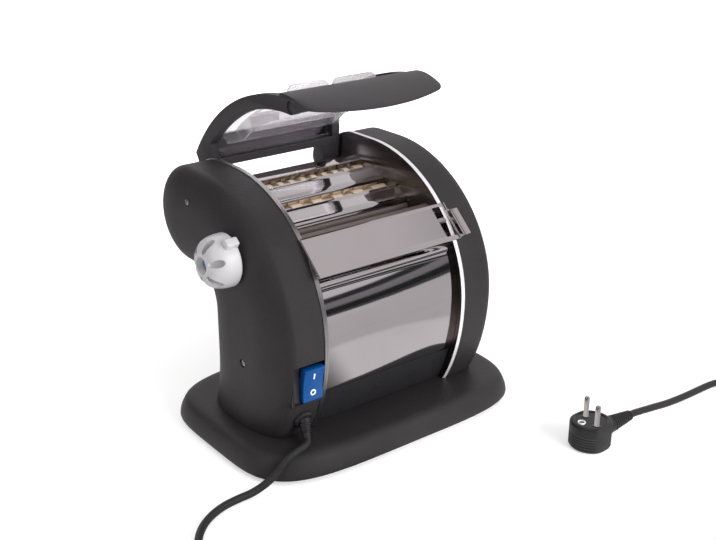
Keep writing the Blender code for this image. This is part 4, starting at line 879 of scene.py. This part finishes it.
makeSheet("frontPanel", "front_panel", "chrome", frontPanelLine(), sheets["thickness"])
makeSheet("lowerApron", "lower_apron", "gloss", apronLine(), sheets["apronThickness"])
makeSheet("rearPanel", "rear_panel", "chrome", rearPanelLine(), sheets["thickness"])
for name, (node, key, line) in deck.items():
    makeSheet(name, node, key, roundCorners(line, sheets["deckCorner"]), sheets["deckThickness"])
railLine = circle(sheets["railRadius"], 16, sheets["rail"], math.pi * 0.55, math.pi * 0.9)
makeSheet("throatRail", None, "rollerSteel", railLine, sheets["railThickness"], 0)

tray = {
    "top": (-0.042, 0.203), "bottom": (-0.071, 0.1765), "thickness": 0.001, "left": -0.0805, "right": 0.0812,
    "wall": 0.0055, "corner": 0.0012, "edge": 0.00025, "steps": 24,
    "ear": 0.0885, "earStart": 0.22, "earRun": 0.06, "earFold": 0.0004, "lowWall": 0.12,
    "gapLow": (-0.015, -0.015, -0.004), "gapHigh": (-0.001, 0.0165, 0.004),
}


def makeTray():
    start, down = Vector((0, *tray["top"])), Vector((0, *tray["bottom"])) - Vector((0, *tray["top"]))
    out = Vector((1, 0, 0)).cross(down.normalized())
    out = -out if out.y > 0 else out
    thickness, right = tray["thickness"], tray["right"]
    edge = right + thickness
    section = [
        (tray["left"] - thickness, tray["wall"] / 3), (tray["left"], 0), (right, 0), (edge, tray["wall"]),
        (tray["ear"], tray["wall"] + thickness),
    ]
    rows = []
    for along in spread(0, 1, tray["steps"]):
        share = min(max((along - tray["earStart"]) / tray["earRun"], 0), 1)
        row = []
        for x, lift in roundCorners(section, tray["corner"]):
            if x > edge:
                x = edge + tray["earFold"] + (x - edge - tray["earFold"]) * share
            if x > right:
                lift = lift * (tray["lowWall"] + (1 - tray["lowWall"]) * share)
            row.append(start + down * along + Vector((x, 0, 0)) + out * lift)
        rows.append(row)
    piece = wrapGrid(rows, closeEnds=False)
    applyModifier(piece, "SOLIDIFY", thickness=thickness, offset=0, use_even_offset=True)
    atRight = Vector((right, 0, 0))
    gap = roundedBox(atRight + Vector(tray["gapLow"]), atRight + Vector(tray["gapHigh"]), tray["corner"])
    lean = Matrix.Rotation(math.atan2(down.z, down.y) + math.pi, 4, "X")
    gap.matrix_world = Matrix.Translation(start + down / 2) @ lean @ gap.matrix_world
    carve(piece, gap)
    softenEdges(piece, tray["edge"])
    settle(piece, "feedTray", "tray", "chrome", "feed_tray")


makeTray()
print("sheet metal made")

rollers = {
    "body": 0.0764, "left": -0.0796, "fixedLeft": -0.0797, "movingLeft": -0.0844, "innerEnd": 0.0855,
    "outerEnd": 0.0921, "smoothRadius": 0.01065, "smoothEdge": 0.0005, "endEdge": 0.0004,
    "cutterRadius": 0.0103, "grooveRadius": 0.0079, "discPlay": 0.0004, "chamfer": 0.00035,
    "wideStrip": 0.012, "narrowStrip": 0.0065,
}


def makeSmoothRoller(name, node, body, key, left, right):
    r, b, j = rollers["smoothRadius"], rollers["body"], journal["radius"]
    edge, end = rollers["smoothEdge"], rollers["endEdge"]
    profile = [
        (0, right), (j - end, right), (j, right - end), (j, b), (r - edge, b), (r, b - edge),
        (r, -b + edge), (r - edge, -b), (j, -b), (j, left + end), (j - end, left), (0, left),
    ]
    settle(lathe(profile, 64, (0, *shafts[key])), name, body, "rollerSteel", node, 35)


def makeCutter(name, node, body, key, strip, firstDisc, right):
    b, j, left, c = rollers["body"], journal["radius"], rollers["left"], rollers["chamfer"]
    count = int(b / strip)
    profile = [(0, left), (j, left), (j, -b)]
    for i in range(2 * count):
        sunk = (i + firstDisc) % 2
        trim = (-1 if sunk else 1) * rollers["discPlay"] / 2
        near = -b if i == 0 else (i - count) * strip + trim
        far = b if i == 2 * count - 1 else (i - count) * strip + strip - trim
        if sunk:
            profile += [(rollers["grooveRadius"], near), (rollers["grooveRadius"], far)]
        else:
            radius = rollers["cutterRadius"]
            profile += [(radius - c, near), (radius, near + c), (radius, far - c), (radius - c, far)]
    profile += [(j, b), (j, right), (0, right)]
    settle(lathe(profile[::-1], 48, (0, *shafts[key])), name, body, "bronze", node, 35)


inner, outer = rollers["innerEnd"], rollers["outerEnd"]
for word, right in (("fixed", outer), ("moving", inner)):
    makeSmoothRoller(
        "smoothRoller" + word.title(), "smooth_roller_" + word, word + "_roller", word,
        rollers[word + "Left"], right,
    )
for width in ("wide", "narrow"):
    for firstDisc, (end, right) in enumerate((("Front", inner), ("Rear", outer))):
        low = end.lower()
        makeCutter(
            f"{width}Cutter{end}", f"{width}_cutter_{low}", f"{width}_{low}_roller", width + end,
            rollers[width + "Strip"], firstDisc, right,
        )
print("rollers made")

knob = {
    "base": -0.1287, "end": -0.151, "radius": 0.024, "bore": 0.0034, "edge": 0.0004, "steps": 120,
    "outline": (  # share of the radius, and the distance from the base
        (0.9, 0), (0.955, 0.0004), (0.995, 0.0016), (1, 0.003), (1, 0.007), (0.985, 0.0115), (0.955, 0.015),
        (0.905, 0.0182), (0.84, 0.0209), (0.755, 0.0231), (0.66, 0.0248), (0.55, 0.026), (0.44, 0.0268),
        (0.34, 0.0272),
    ),
    "petals": 6, "petalTurn": math.radians(12), "petalLean": math.radians(35), "petalPlace": 0.68,
    "petalSize": (0.0036, 0.0042, 0.0082), "petalDepth": 0.0012,
    "capRadius": 0.0062, "capThickness": 0.0016, "capPlay": 0.0003, "capEdge": (0.0004, 0.0005),
    "capCrown": (0.6, 0.0002, 0.0003),  # share of the radius, and the rise there and in the middle
    "gripHalf": 0.004, "gripLength": 0.013, "gripHeight": 0.0055, "gripRoot": 0.004, "gripEdge": 0.0014,
    "gripTurn": math.radians(38),
}


def makeKnob():
    rim, end, root = knob["radius"], knob["end"], knob["base"]
    cap, depth, bore, play = knob["capRadius"], knob["capThickness"], knob["bore"], knob["capPlay"]
    atShaft = Matrix.Translation((0, *shafts["knob"]))
    profile = [(bore, root)]
    profile += [(rim * share, root - distance) for share, distance in knob["outline"]]
    profile += [
        (cap + 2 * play, end + 0.0001), (cap + play, end + 0.0004), (cap + play, end + depth + play),
        (bore, end + depth + play), (bore, root),
    ]
    body = lathe(profile, knob["steps"], (0, *shafts["knob"]))
    spot = Matrix.Translation((end + knob["petalDepth"], 0, rim * knob["petalPlace"]))
    lean = Matrix.Rotation(knob["petalLean"], 4, "Y")
    for i in range(knob["petals"]):
        freshStart()
        bpy.ops.mesh.primitive_uv_sphere_add(segments=40, ring_count=24, radius=1)
        petal = bpy.context.object
        turn = Matrix.Rotation(knob["petalTurn"] + math.tau * i / knob["petals"], 4, "X")
        petal.matrix_world = atShaft @ turn @ spot @ lean @ Matrix.Diagonal((*knob["petalSize"], 1))
        carve(body, petal)
        tidyMesh(body)  # the next cut and the bevel need a mesh without slivers
    softenEdges(body, knob["edge"], 34)
    settle(body, "thicknessKnob", "knob", "silver", "thickness_knob", 34)
    low = (root - knob["gripLength"], -knob["gripHalf"], rim - knob["gripRoot"])
    high = (root - play, knob["gripHalf"], rim + knob["gripHeight"])
    grip = roundedBox(low, high, knob["gripEdge"])
    grip.matrix_world = atShaft @ Matrix.Rotation(knob["gripTurn"], 4, "X") @ grip.matrix_world
    settle(grip, "knobGrip", "knob", "silver", None, 34)
    (edgeIn, edgeDeep), (share, rise, crown) = knob["capEdge"], knob["capCrown"]
    profile = [
        (0, end + depth), (cap, end + depth), (cap, end + edgeDeep), (cap - edgeIn, end),
        (cap * share, end - rise), (0, end - crown),
    ]
    settle(lathe(profile, 48, (0, *shafts["knob"])), "knobCap", "knob", "cap", "knob_cap", 34)


makeKnob()
print("knob made")

lid = {
    "outer": 0.188, "inner": 0.175, "front": math.radians(93), "back": math.radians(34),
    "innerBack": math.radians(43), "armEnd": (0.0174, 0.0241), "outerFace": 0.0755, "armThickness": 0.009,
    "armEdge": 0.0012, "lug": 0.009, "lugInner": 0.056, "lugEdge": 0.0008, "heel": 0.0045, "pin": 0.003,
    "pinRoot": 0.003, "barY": (0.11, 0.118), "barZ": (0.229, 0.237), "play": 0.0003,
}
visor = {
    "thickness": 0.004, "edge": 0.0022, "rear": (0.0085, 0.0005), "front": (-0.0315, -0.005),
    "bow": (-0.014, -0.004), "corner": 0.01, "cornerLift": 0.125, "arch": 0.0025, "underArch": 0.6,
    "lip": 0.0006, "stations": 96, "steps": 12, "cheekWidth": 0.016, "cheekInset": 0.0012, "cheekEdge": 0.001,
    "cheek": (
        (-0.023, -0.006), (-0.0165, -0.01), (-0.01, -0.0125), (-0.002, -0.0125), (0.004, -0.0016),
        (-0.015, -0.0016), (-0.0225, -0.0042),
    ),
}
shield = {
    "drop": 0.0105, "thickness": 0.002, "edge": 0.0004, "back": math.radians(38), "front": math.radians(86),
    "stripTop": math.radians(47), "stripGap": 0.0015, "skirt": ((-0.003, 0.0013), (0.003, 0.0022)),
    "windowHalf": 0.046, "windowBack": math.radians(58), "windowFront": math.radians(76),
    "ribThickness": 0.0018, "wallDepth": 0.014, "wallGap": 0.007, "wallEdge": 0.0003, "join": 0.0002,
}
guards = {
    "thickness": 0.0025, "height": 0.0165, "corner": 0.006, "edge": 0.0004, "rise": 0.0006,
    "spans": {"left": (-0.0655, -0.023), "right": (-0.018, 0.029)},
}
hingeY, hingeZ = shafts["hinge"]
lidCentre = (
    hingeY + lid["armEnd"][0] - lid["outer"] * math.cos(lid["back"]),
    hingeZ + lid["armEnd"][1] - lid["outer"] * math.sin(lid["back"]),
)
armTop = Vector((lidCentre[0], lidCentre[1] + lid["outer"]))
bothSides = (("Left", -1), ("Right", 1))


def makeLidFrame():
    outer, inner, lug, play = lid["outer"], lid["inner"], lid["lug"], lid["play"]
    (barFront, barBack), (barLow, barHigh) = lid["barY"], lid["barZ"]
    front, half = lid["front"], lid["armThickness"] / 2
    lobe = circle((outer + inner) / 2, 1, lidCentre, front, 0)[0]
    lugLine = circle(lug, 20, (hingeY, hingeZ), 0, -math.pi)
    outline = circle(outer, 48, lidCentre, front, lid["back"] - front)
    outline += [(hingeY + lug + lid["heel"], hingeZ + 2 * lug), *lugLine, (barFront, barHigh + lug)]
    outline += circle(inner, 40, lidCentre, lid["innerBack"], front - lid["innerBack"])
    outline += circle((outer - inner) / 2, 16, lobe, front + math.pi, math.pi)[1:-1]
    lugLine += [(barFront + play, barHigh - play), (hingeY + lug / 2, barHigh - play)]
    lugWidth = lid["outerFace"] - play - lid["lugInner"]
    reach = lid["outerFace"] - half
    for word, sign in bothSides:
        arm = flatShape(outline, lid["armThickness"], sign * reach, lid["armEdge"])
        settle(arm, "lidArm" + word, "lid", "lidBlack", "lid_frame" if sign < 0 else None)
        lugPiece = flatShape(lugLine, lugWidth, sign * (lid["lugInner"] + lugWidth / 2), lid["lugEdge"])
        settle(lugPiece, "lidLug" + word, "lid", "lidBlack")
        near, far = sorted((sign * (lid["outerFace"] - lid["pinRoot"]), sign * plateOutside))
        settle(lathe(rod(lid["pin"], far, near), 24, (0, hingeY, hingeZ)), "lidPin" + word, "lid", "lidBlack")
    bar = roundedBox((-reach, barFront, barLow), (reach, barBack, barHigh), lid["armEdge"])
    settle(bar, "lidCrossbar", "lid", "lidBlack")


def makeVisor():
    half, reach, size = visor["thickness"] / 2, lid["outerFace"] - lid["play"], visor["corner"]
    rear = armTop + Vector(visor["rear"])
    rows = []
    for turn in spread(0, math.pi, visor["stations"]):
        x = -reach * math.cos(turn)
        corner = max((abs(x) - (reach - size)) / size, 0)
        trim = size * (1 - math.sqrt(max(1 - corner * corner, 0)))
        front = armTop + Vector(visor["front"]) + Vector((trim, visor["cornerLift"] * trim))
        front += (1 - (x / reach) ** 2) * Vector(visor["bow"])
        upper, lower = [], []
        for t in spread(0, 1, visor["steps"]):
            spine = rear.lerp(front, t)
            arch = visor["arch"] * 4 * t * (1 - t)
            thick = half + (visor["edge"] / 2 - half) * t
            upper.append(spine + Vector((0, arch + thick)))
            lower.append(spine + Vector((0, arch * visor["underArch"] - thick)))
        line = [*upper, front - Vector((visor["lip"], 0)), *reversed(lower), upper[0]]
        rows.append([(x, point.x, point.y) for point in line])
    piece = wrapGrid(rows)
    softenEdges(piece, visor["lip"], 40)
    settle(piece, "lidVisor", "lid", "lidBlack", None, 34)
    cheekLine = [(armTop.x + y, armTop.y + z) for y, z in visor["cheek"]]
    middle = lid["outerFace"] - visor["cheekInset"] - visor["cheekWidth"] / 2
    for word, sign in bothSides:
        cheek = flatShape(cheekLine, visor["cheekWidth"], sign * middle, visor["cheekEdge"])
        settle(cheek, "visorCheek" + word, "lid", "lidBlack", None, 34)


shieldRadius = lid["outer"] - shield["drop"]


def makeShield():
    stripTop, thickness, windowHalf = shield["stripTop"], shield["thickness"], shield["windowHalf"]
    low, high = shield["windowBack"], shield["windowFront"]
    half = lid["outerFace"] - lid["armThickness"] - lid["play"]
    line = circle(shieldRadius, 40, lidCentre, stripTop, shield["front"] - stripTop)
    clear = foldSheet(line, half, thickness)
    window = circle(shieldRadius - past, 6, lidCentre, low, high - low)
    window += circle(shieldRadius + past, 6, lidCentre, high, low - high)
    carve(clear, flatShape(window, 2 * windowHalf, 0))
    softenEdges(clear, shield["edge"])
    settle(clear, "lidShield", "lid", "smoke", "lid_shield")
    line = [(lid["barY"][1] + y, lid["barZ"][1] + z) for y, z in shield["skirt"]]
    back = shield["back"]
    line += circle(shieldRadius, 40, lidCentre, back, stripTop - shield["stripGap"] - back)
    strip = foldSheet(line, half, thickness)
    softenEdges(strip, shield["edge"])
    settle(strip, "lidShieldStrip", "lid", "darkSmoke")
    under = shieldRadius - thickness / 2
    near = under - shield["join"]
    ribs = (  # angle, depth and half length
        ("Low", stripTop + 0.006, 0.011, half),
        ("High", low - 0.02, shield["wallDepth"], windowHalf + 0.004),
    )
    for word, angle, deep, reach in ribs:
        line = [circle(size, 1, lidCentre, angle, 0)[0] for size in spread(near, under - deep, 2)]
        rib = foldSheet(line, reach, shield["ribThickness"], shield["edge"])
        settle(rib, "lidShieldRib" + word, "lid", "smoke")
    low = stripTop + 0.02
    outline = circle(near, 14, lidCentre, low, high - low)
    outline += circle(under - shield["wallDepth"], 14, lidCentre, high - 0.03, low - high + 0.05)
    for word, sign in bothSides:
        middle = sign * (windowHalf + shield["wallGap"])
        wall = flatShape(outline, shield["ribThickness"], middle, shield["wallEdge"])
        settle(wall, "lidShieldWall" + word, "lid", "smoke")


def makeGuards():
    corner, thickness = guards["corner"], guards["thickness"]
    outer = shieldRadius + shield["thickness"] / 2
    guardY = armTop.x + visor["rear"][0] + thickness / 2 + lid["play"]
    foot = lidCentre[1] + math.sqrt(outer**2 - (guardY - lidCentre[0]) ** 2) + guards["rise"]
    top = foot + guards["height"]
    for word, (left, right) in guards["spans"].items():
        outline = [(left, foot), (right, foot)]
        outline += circle(corner, 10, (right - corner, top - corner), 0, math.pi / 2)
        outline += circle(corner, 10, (left + corner, top - corner), math.pi / 2, math.pi / 2)
        guard = flatShape(outline, thickness, guardY, guards["edge"], plane="XZ")
        settle(guard, "guard" + word.title(), "lid", "guardSmoke", word + "_guard")


makeLidFrame()
makeVisor()
makeShield()
makeGuards()
print("lid made")

switch = {
    "x": -0.0925, "width": 0.0215, "height": 0.034, "rise": 0.0072, "back": 0.0035, "depth": 0.016,
    "tilt": math.radians(8), "play": 0.0003, "dip": 0.24, "frameWall": 0.0014, "frameRight": 0.001,
    "frameInset": 0.0012, "frameEdge": 0.0004, "pocketEdge": 0.0003, "buttonEdge": 0.0007,
    "bar": (0.0007, 0.003), "barEdge": 0.0002, "ringInner": 0.0017, "ringOuter": 0.0028,
    "markBack": 0.0006, "markProud": 0.0001,
}


def makeSwitch():
    x, z, play, back = switch["x"], cover["switchZ"], switch["play"], switch["back"]
    faceY, half = frontAt(z), cover["recessHeight"] / 2 - play
    front, wall = faceY + cover["recessDepth"], switch["frameWall"]
    left, right = cover["recess"][0] + play, cover["recess"][1] - play
    low, high = (left, faceY + switch["frameInset"], z - half), (right, front + switch["depth"], z + half)
    housing = roundedBox(low, high, switch["frameEdge"], 2)
    low = (left + wall, faceY - past, z - half + wall)
    high = (right - switch["frameRight"], front, z + half - wall)
    carve(housing, roundedBox(low, high, switch["pocketEdge"], 2))
    wide, tall = switch["width"] / 2 + play, switch["height"] / 2 + play
    carve(housing, roundedBox((x - wide, front - past, z - tall), (x + wide, front + back, z + tall)))
    settle(housing, "switchHousing", "housing", "gloss", "switch_housing")

    rise, dip, halfHeight = switch["rise"], switch["dip"], switch["height"] / 2 - 2 * play
    outline = []
    for share in spread(-1, 1, 20):
        outline.append((-rise * (1 - dip + dip * share * share), halfHeight * share))
    outline += [(back * 0.3, halfHeight * 0.94), (back * 0.6, 0), (back * 0.3, -halfHeight * 0.94)]
    tilt = Matrix.Translation((x, front, z)) @ Matrix.Rotation(switch["tilt"], 4, "X")
    button = flatShape(outline, switch["width"] - 2 * play, 0, switch["buttonEdge"])
    button.matrix_world = tilt @ button.matrix_world
    settle(button, "rockerButton", "switch_rocker", "rocker", "rocker")

    lean = math.atan(2 * dip * 0.5 * rise / halfHeight)
    proud, deep = -switch["markProud"], switch["markBack"]
    markY = -rise * (1 - dip + dip * 0.25) + proud
    for name, way in (("markOn", 1), ("markOff", -1)):
        if way > 0:
            wide, tall = switch["bar"]
            mark = roundedBox((-wide, proud, -tall), (wide, deep, tall), switch["barEdge"], 2)
        else:
            mark = lathe(ring(switch["ringInner"], switch["ringOuter"], deep, proud), 40, (0, 0, 0), "Y")
        bpy.context.view_layer.update()
        spot = Matrix.Translation((0, markY, way * halfHeight / 2)) @ Matrix.Rotation(way * lean, 4, "X")
        mark.matrix_world = tilt @ spot @ mark.matrix_world
        settle(mark, name, "switch_rocker", "mark", None, 40)


gland = {
    "radius": 0.0092, "neck": 0.0056, "barrel": 0.01, "tip": 0.0042, "lip": 0.0004, "foot": 0.0003,
    "ribs": 4, "ribPitch": 0.0022, "rib": {"depth": 0.0005, "slope": 0.0003, "width": 0.0012},
}


def makeGland():
    place, out, down, tip = glandFrame()
    radius, neck, end, top = gland["radius"], gland["neck"], gland["tip"], cord["glandFlange"]
    lip, foot = gland["lip"], gland["foot"]
    profile = [
        (0, top), (neck + 0.0002, top), (neck + 0.0006, top + lip), (radius - 0.0014, top + lip),
        (radius - lip, top - foot), (radius, top - 0.0012), (radius, foot), (neck, foot),
        (neck, -gland["barrel"]), (0, -gland["barrel"]),
    ]
    flange = lathe(profile, 56, place, "Z")
    flange.rotation_euler = out.to_track_quat("Z", "X").to_euler()
    settle(flange, "cordGland", "housing", "gloss", "cord_gland", 34)
    length = cord["sleeveLength"] + top / 2
    profile = [(0, length - 0.0002), (end - 0.0003, length - 0.0002), (end, length - 0.0006)]
    for i in range(gland["ribs"]):
        z = length - 0.0012 - i * gland["ribPitch"]
        size = end + (neck - end) * (i + 1) / (gland["ribs"] + 1)
        profile += groove(size, z, **gland["rib"])
    sleeve = lathe([*profile, (neck, 0), (0, 0)], 36, tip - down * length, "Z")
    sleeve.rotation_euler = down.to_track_quat("Z", "X").to_euler()
    settle(sleeve, "cordSleeve", "housing", "gloss", None, 34)


makeSwitch()
makeGland()
print("switch and gland made")

# Painted reflections: only mirrored rays see the painted bands of light and shade on the floor and in the
# room, and the camera sees them white
stage = {
    "floorSize": 12.0, "floorGrey": 0.86, "paperGlow": 1.9, "glowFade": (0.42, 0.95),
    "glowShare": (0.22, 1.0), "mirrorShare": 0.97, "mirrorTint": (1, 0.955, 0.975), "floorScale": 0.25,
    "floorBands": ((0.0, 0.66), (0.0695, 0.64), (0.0725, 0.48), (0.62, 0.46), (0.63, 0.05), (1.0, 0.03)),
    "roomBands": (
        (0.0, 0.02), (0.04, 0.02), (0.06, (0.19, 0.18, 0.19)), (0.12, (0.21, 0.2, 0.21)),
        (0.14, 0.03), (0.19, 0.03), (0.21, (0.6, 0.575, 0.6)), (0.38, (0.6, 0.575, 0.6)),
        (0.5, (0.46, 0.43, 0.44)),
        (0.62, (0.58, 0.545, 0.55)), (0.8, (0.56, 0.525, 0.53)), (1.0, (0.34, 0.315, 0.315)),
    ),
    "rearFade": (0.0, 0.6), "rightFade": (-0.3, 0.25),
    "rearLeft": (0.1, 0.085, 0.08), "rearRight": (0.74, 0.71, 0.73), "plainLevel": 0.8,
    "darkHeading": (-0.599, -0.801, 0), "darkWedge": (0.8, 0.985), "darkShare": 0.1,
    "darkWall": (0.03, 0.03, 0.03),
    "lamps": {  # place, target, size and energy
        "rightLamp": ((0.45, -2.0, 0.8), (0, 0, 0.12), (1.4, 1.2), 58),
        "leftLamp": ((-1.2, 1.8, 1.0), (0, 0, 0.15), (1.2, 1.0), 14),
        "topLamp": ((-0.4, -0.3, 1.9), (0, 0, 0.15), (1.2, 1.0), 4),
    },
}


def bands(board, value, levels):
    stops = [(place, colour if isinstance(colour, tuple) else (colour,) * 3) for place, colour in levels]
    return board.add("ShaderNodeValToRGB", {"stops": stops}, {"Fac": value})


def vectorMaths(board, operation, first, second=None, output=0):
    inputs = {0: first} if second is None else {0: first, 1: second}
    return board.add("ShaderNodeVectorMath", {"operation": operation}, inputs, output)


def darkSide(board, heading):
    flat = vectorMaths(board, "NORMALIZE", vectorMaths(board, "MULTIPLY", heading, (1, 1, 0)))
    facing = vectorMaths(board, "DOT_PRODUCT", flat, stage["darkHeading"], output=1)
    return fade(board, facing, *stage["darkWedge"], 1.0, stage["darkShare"])


def rays(board):
    seen = board.add("ShaderNodeLightPath", output="Is Camera Ray")
    return seen + seen.other("Is Transmission Ray"), seen.other("Is Glossy Ray")


freshStart()
bpy.ops.mesh.primitive_plane_add(size=stage["floorSize"])
floor = bpy.context.object
floor.name = "studioFloor"
paperColour = (*(stage["floorGrey"],) * 3, 1)
paper = newMaterial("paperFloor", {"Roughness": 0.9, "Base Color": paperColour, "Specular IOR Level": 0.1})
seen, mirrored = rays(paper)
distance = vectorMaths(paper, "LENGTH", paper.place, output=1)
# painted reflection: for mirrored rays the floor glows in tinted bands, darker far off and darker on the side
# towards the camera
level = bands(paper, distance * stage["floorScale"], stage["floorBands"]) * darkSide(paper, paper.place)
red, green, blue = stage["mirrorTint"]
parts = {"Red": level * red, "Green": level * green, "Blue": level * blue}
glowColour = mixColours(paper, mirrored, (1, 1, 1), paper.add("ShaderNodeCombineColor", {}, parts))
strength = 1.0 + (stage["paperGlow"] - 1.0) * seen
glow = paper.add("ShaderNodeEmission", {}, {"Color": glowColour, "Strength": strength})
share = fade(paper, distance, *stage["glowFade"], *stage["glowShare"]) * seen
share = share + stage["mirrorShare"] * mirrored
plain = Wire(paper, paper.shader.outputs[0])
blend = paper.add("ShaderNodeMixShader", {}, {0: share, 1: plain, 2: glow})
paper.feed(paper.tree.nodes["Material Output"].inputs["Surface"], blend)
floor.data.materials.append(paper.made)

world = bpy.data.worlds.new("studioWorld")
bpy.context.scene.world = world
world.use_nodes = True
sky = Board(world.node_tree)
seen, mirrored = rays(sky)
heading = sky.add("ShaderNodeTexCoord", output="Generated")
across = sky.add("ShaderNodeSeparateXYZ", {}, {"Vector": heading}, "X")
rearColour = mixColours(sky, fade(sky, across, *stage["rightFade"]), stage["rearLeft"], stage["rearRight"])
room = bands(sky, across.other("Z"), stage["roomBands"])
room = mixColours(sky, fade(sky, across.other("Y"), *stage["rearFade"]), room, rearColour)
room = mixColours(sky, darkSide(sky, heading), stage["darkWall"], room)
room = mixColours(sky, mirrored, (stage["plainLevel"],) * 3, room)
sky.feed(world.node_tree.nodes["Background"].inputs["Color"], mixColours(sky, seen, room, (1, 1, 1)))

for name, (place, target, size, energy) in stage["lamps"].items():
    freshStart()
    bpy.ops.object.light_add(type="AREA", location=place)
    lamp = bpy.context.object
    lamp.name = name
    lamp.data.shape = "RECTANGLE"
    lamp.data.size, lamp.data.size_y = size
    lamp.data.energy = energy
    lamp.visible_glossy = False
    lamp.rotation_euler = (Vector(target) - Vector(place)).to_track_quat("-Z", "Y").to_euler()
bpy.context.scene.view_settings.view_transform = "Standard"
print("stage lit")

for piece in bpy.data.objects:
    if piece.name == "mainsCord" or piece.name.startswith("plug"):
        piece.visible_glossy = False  # the machine's metal mirrors the machine alone
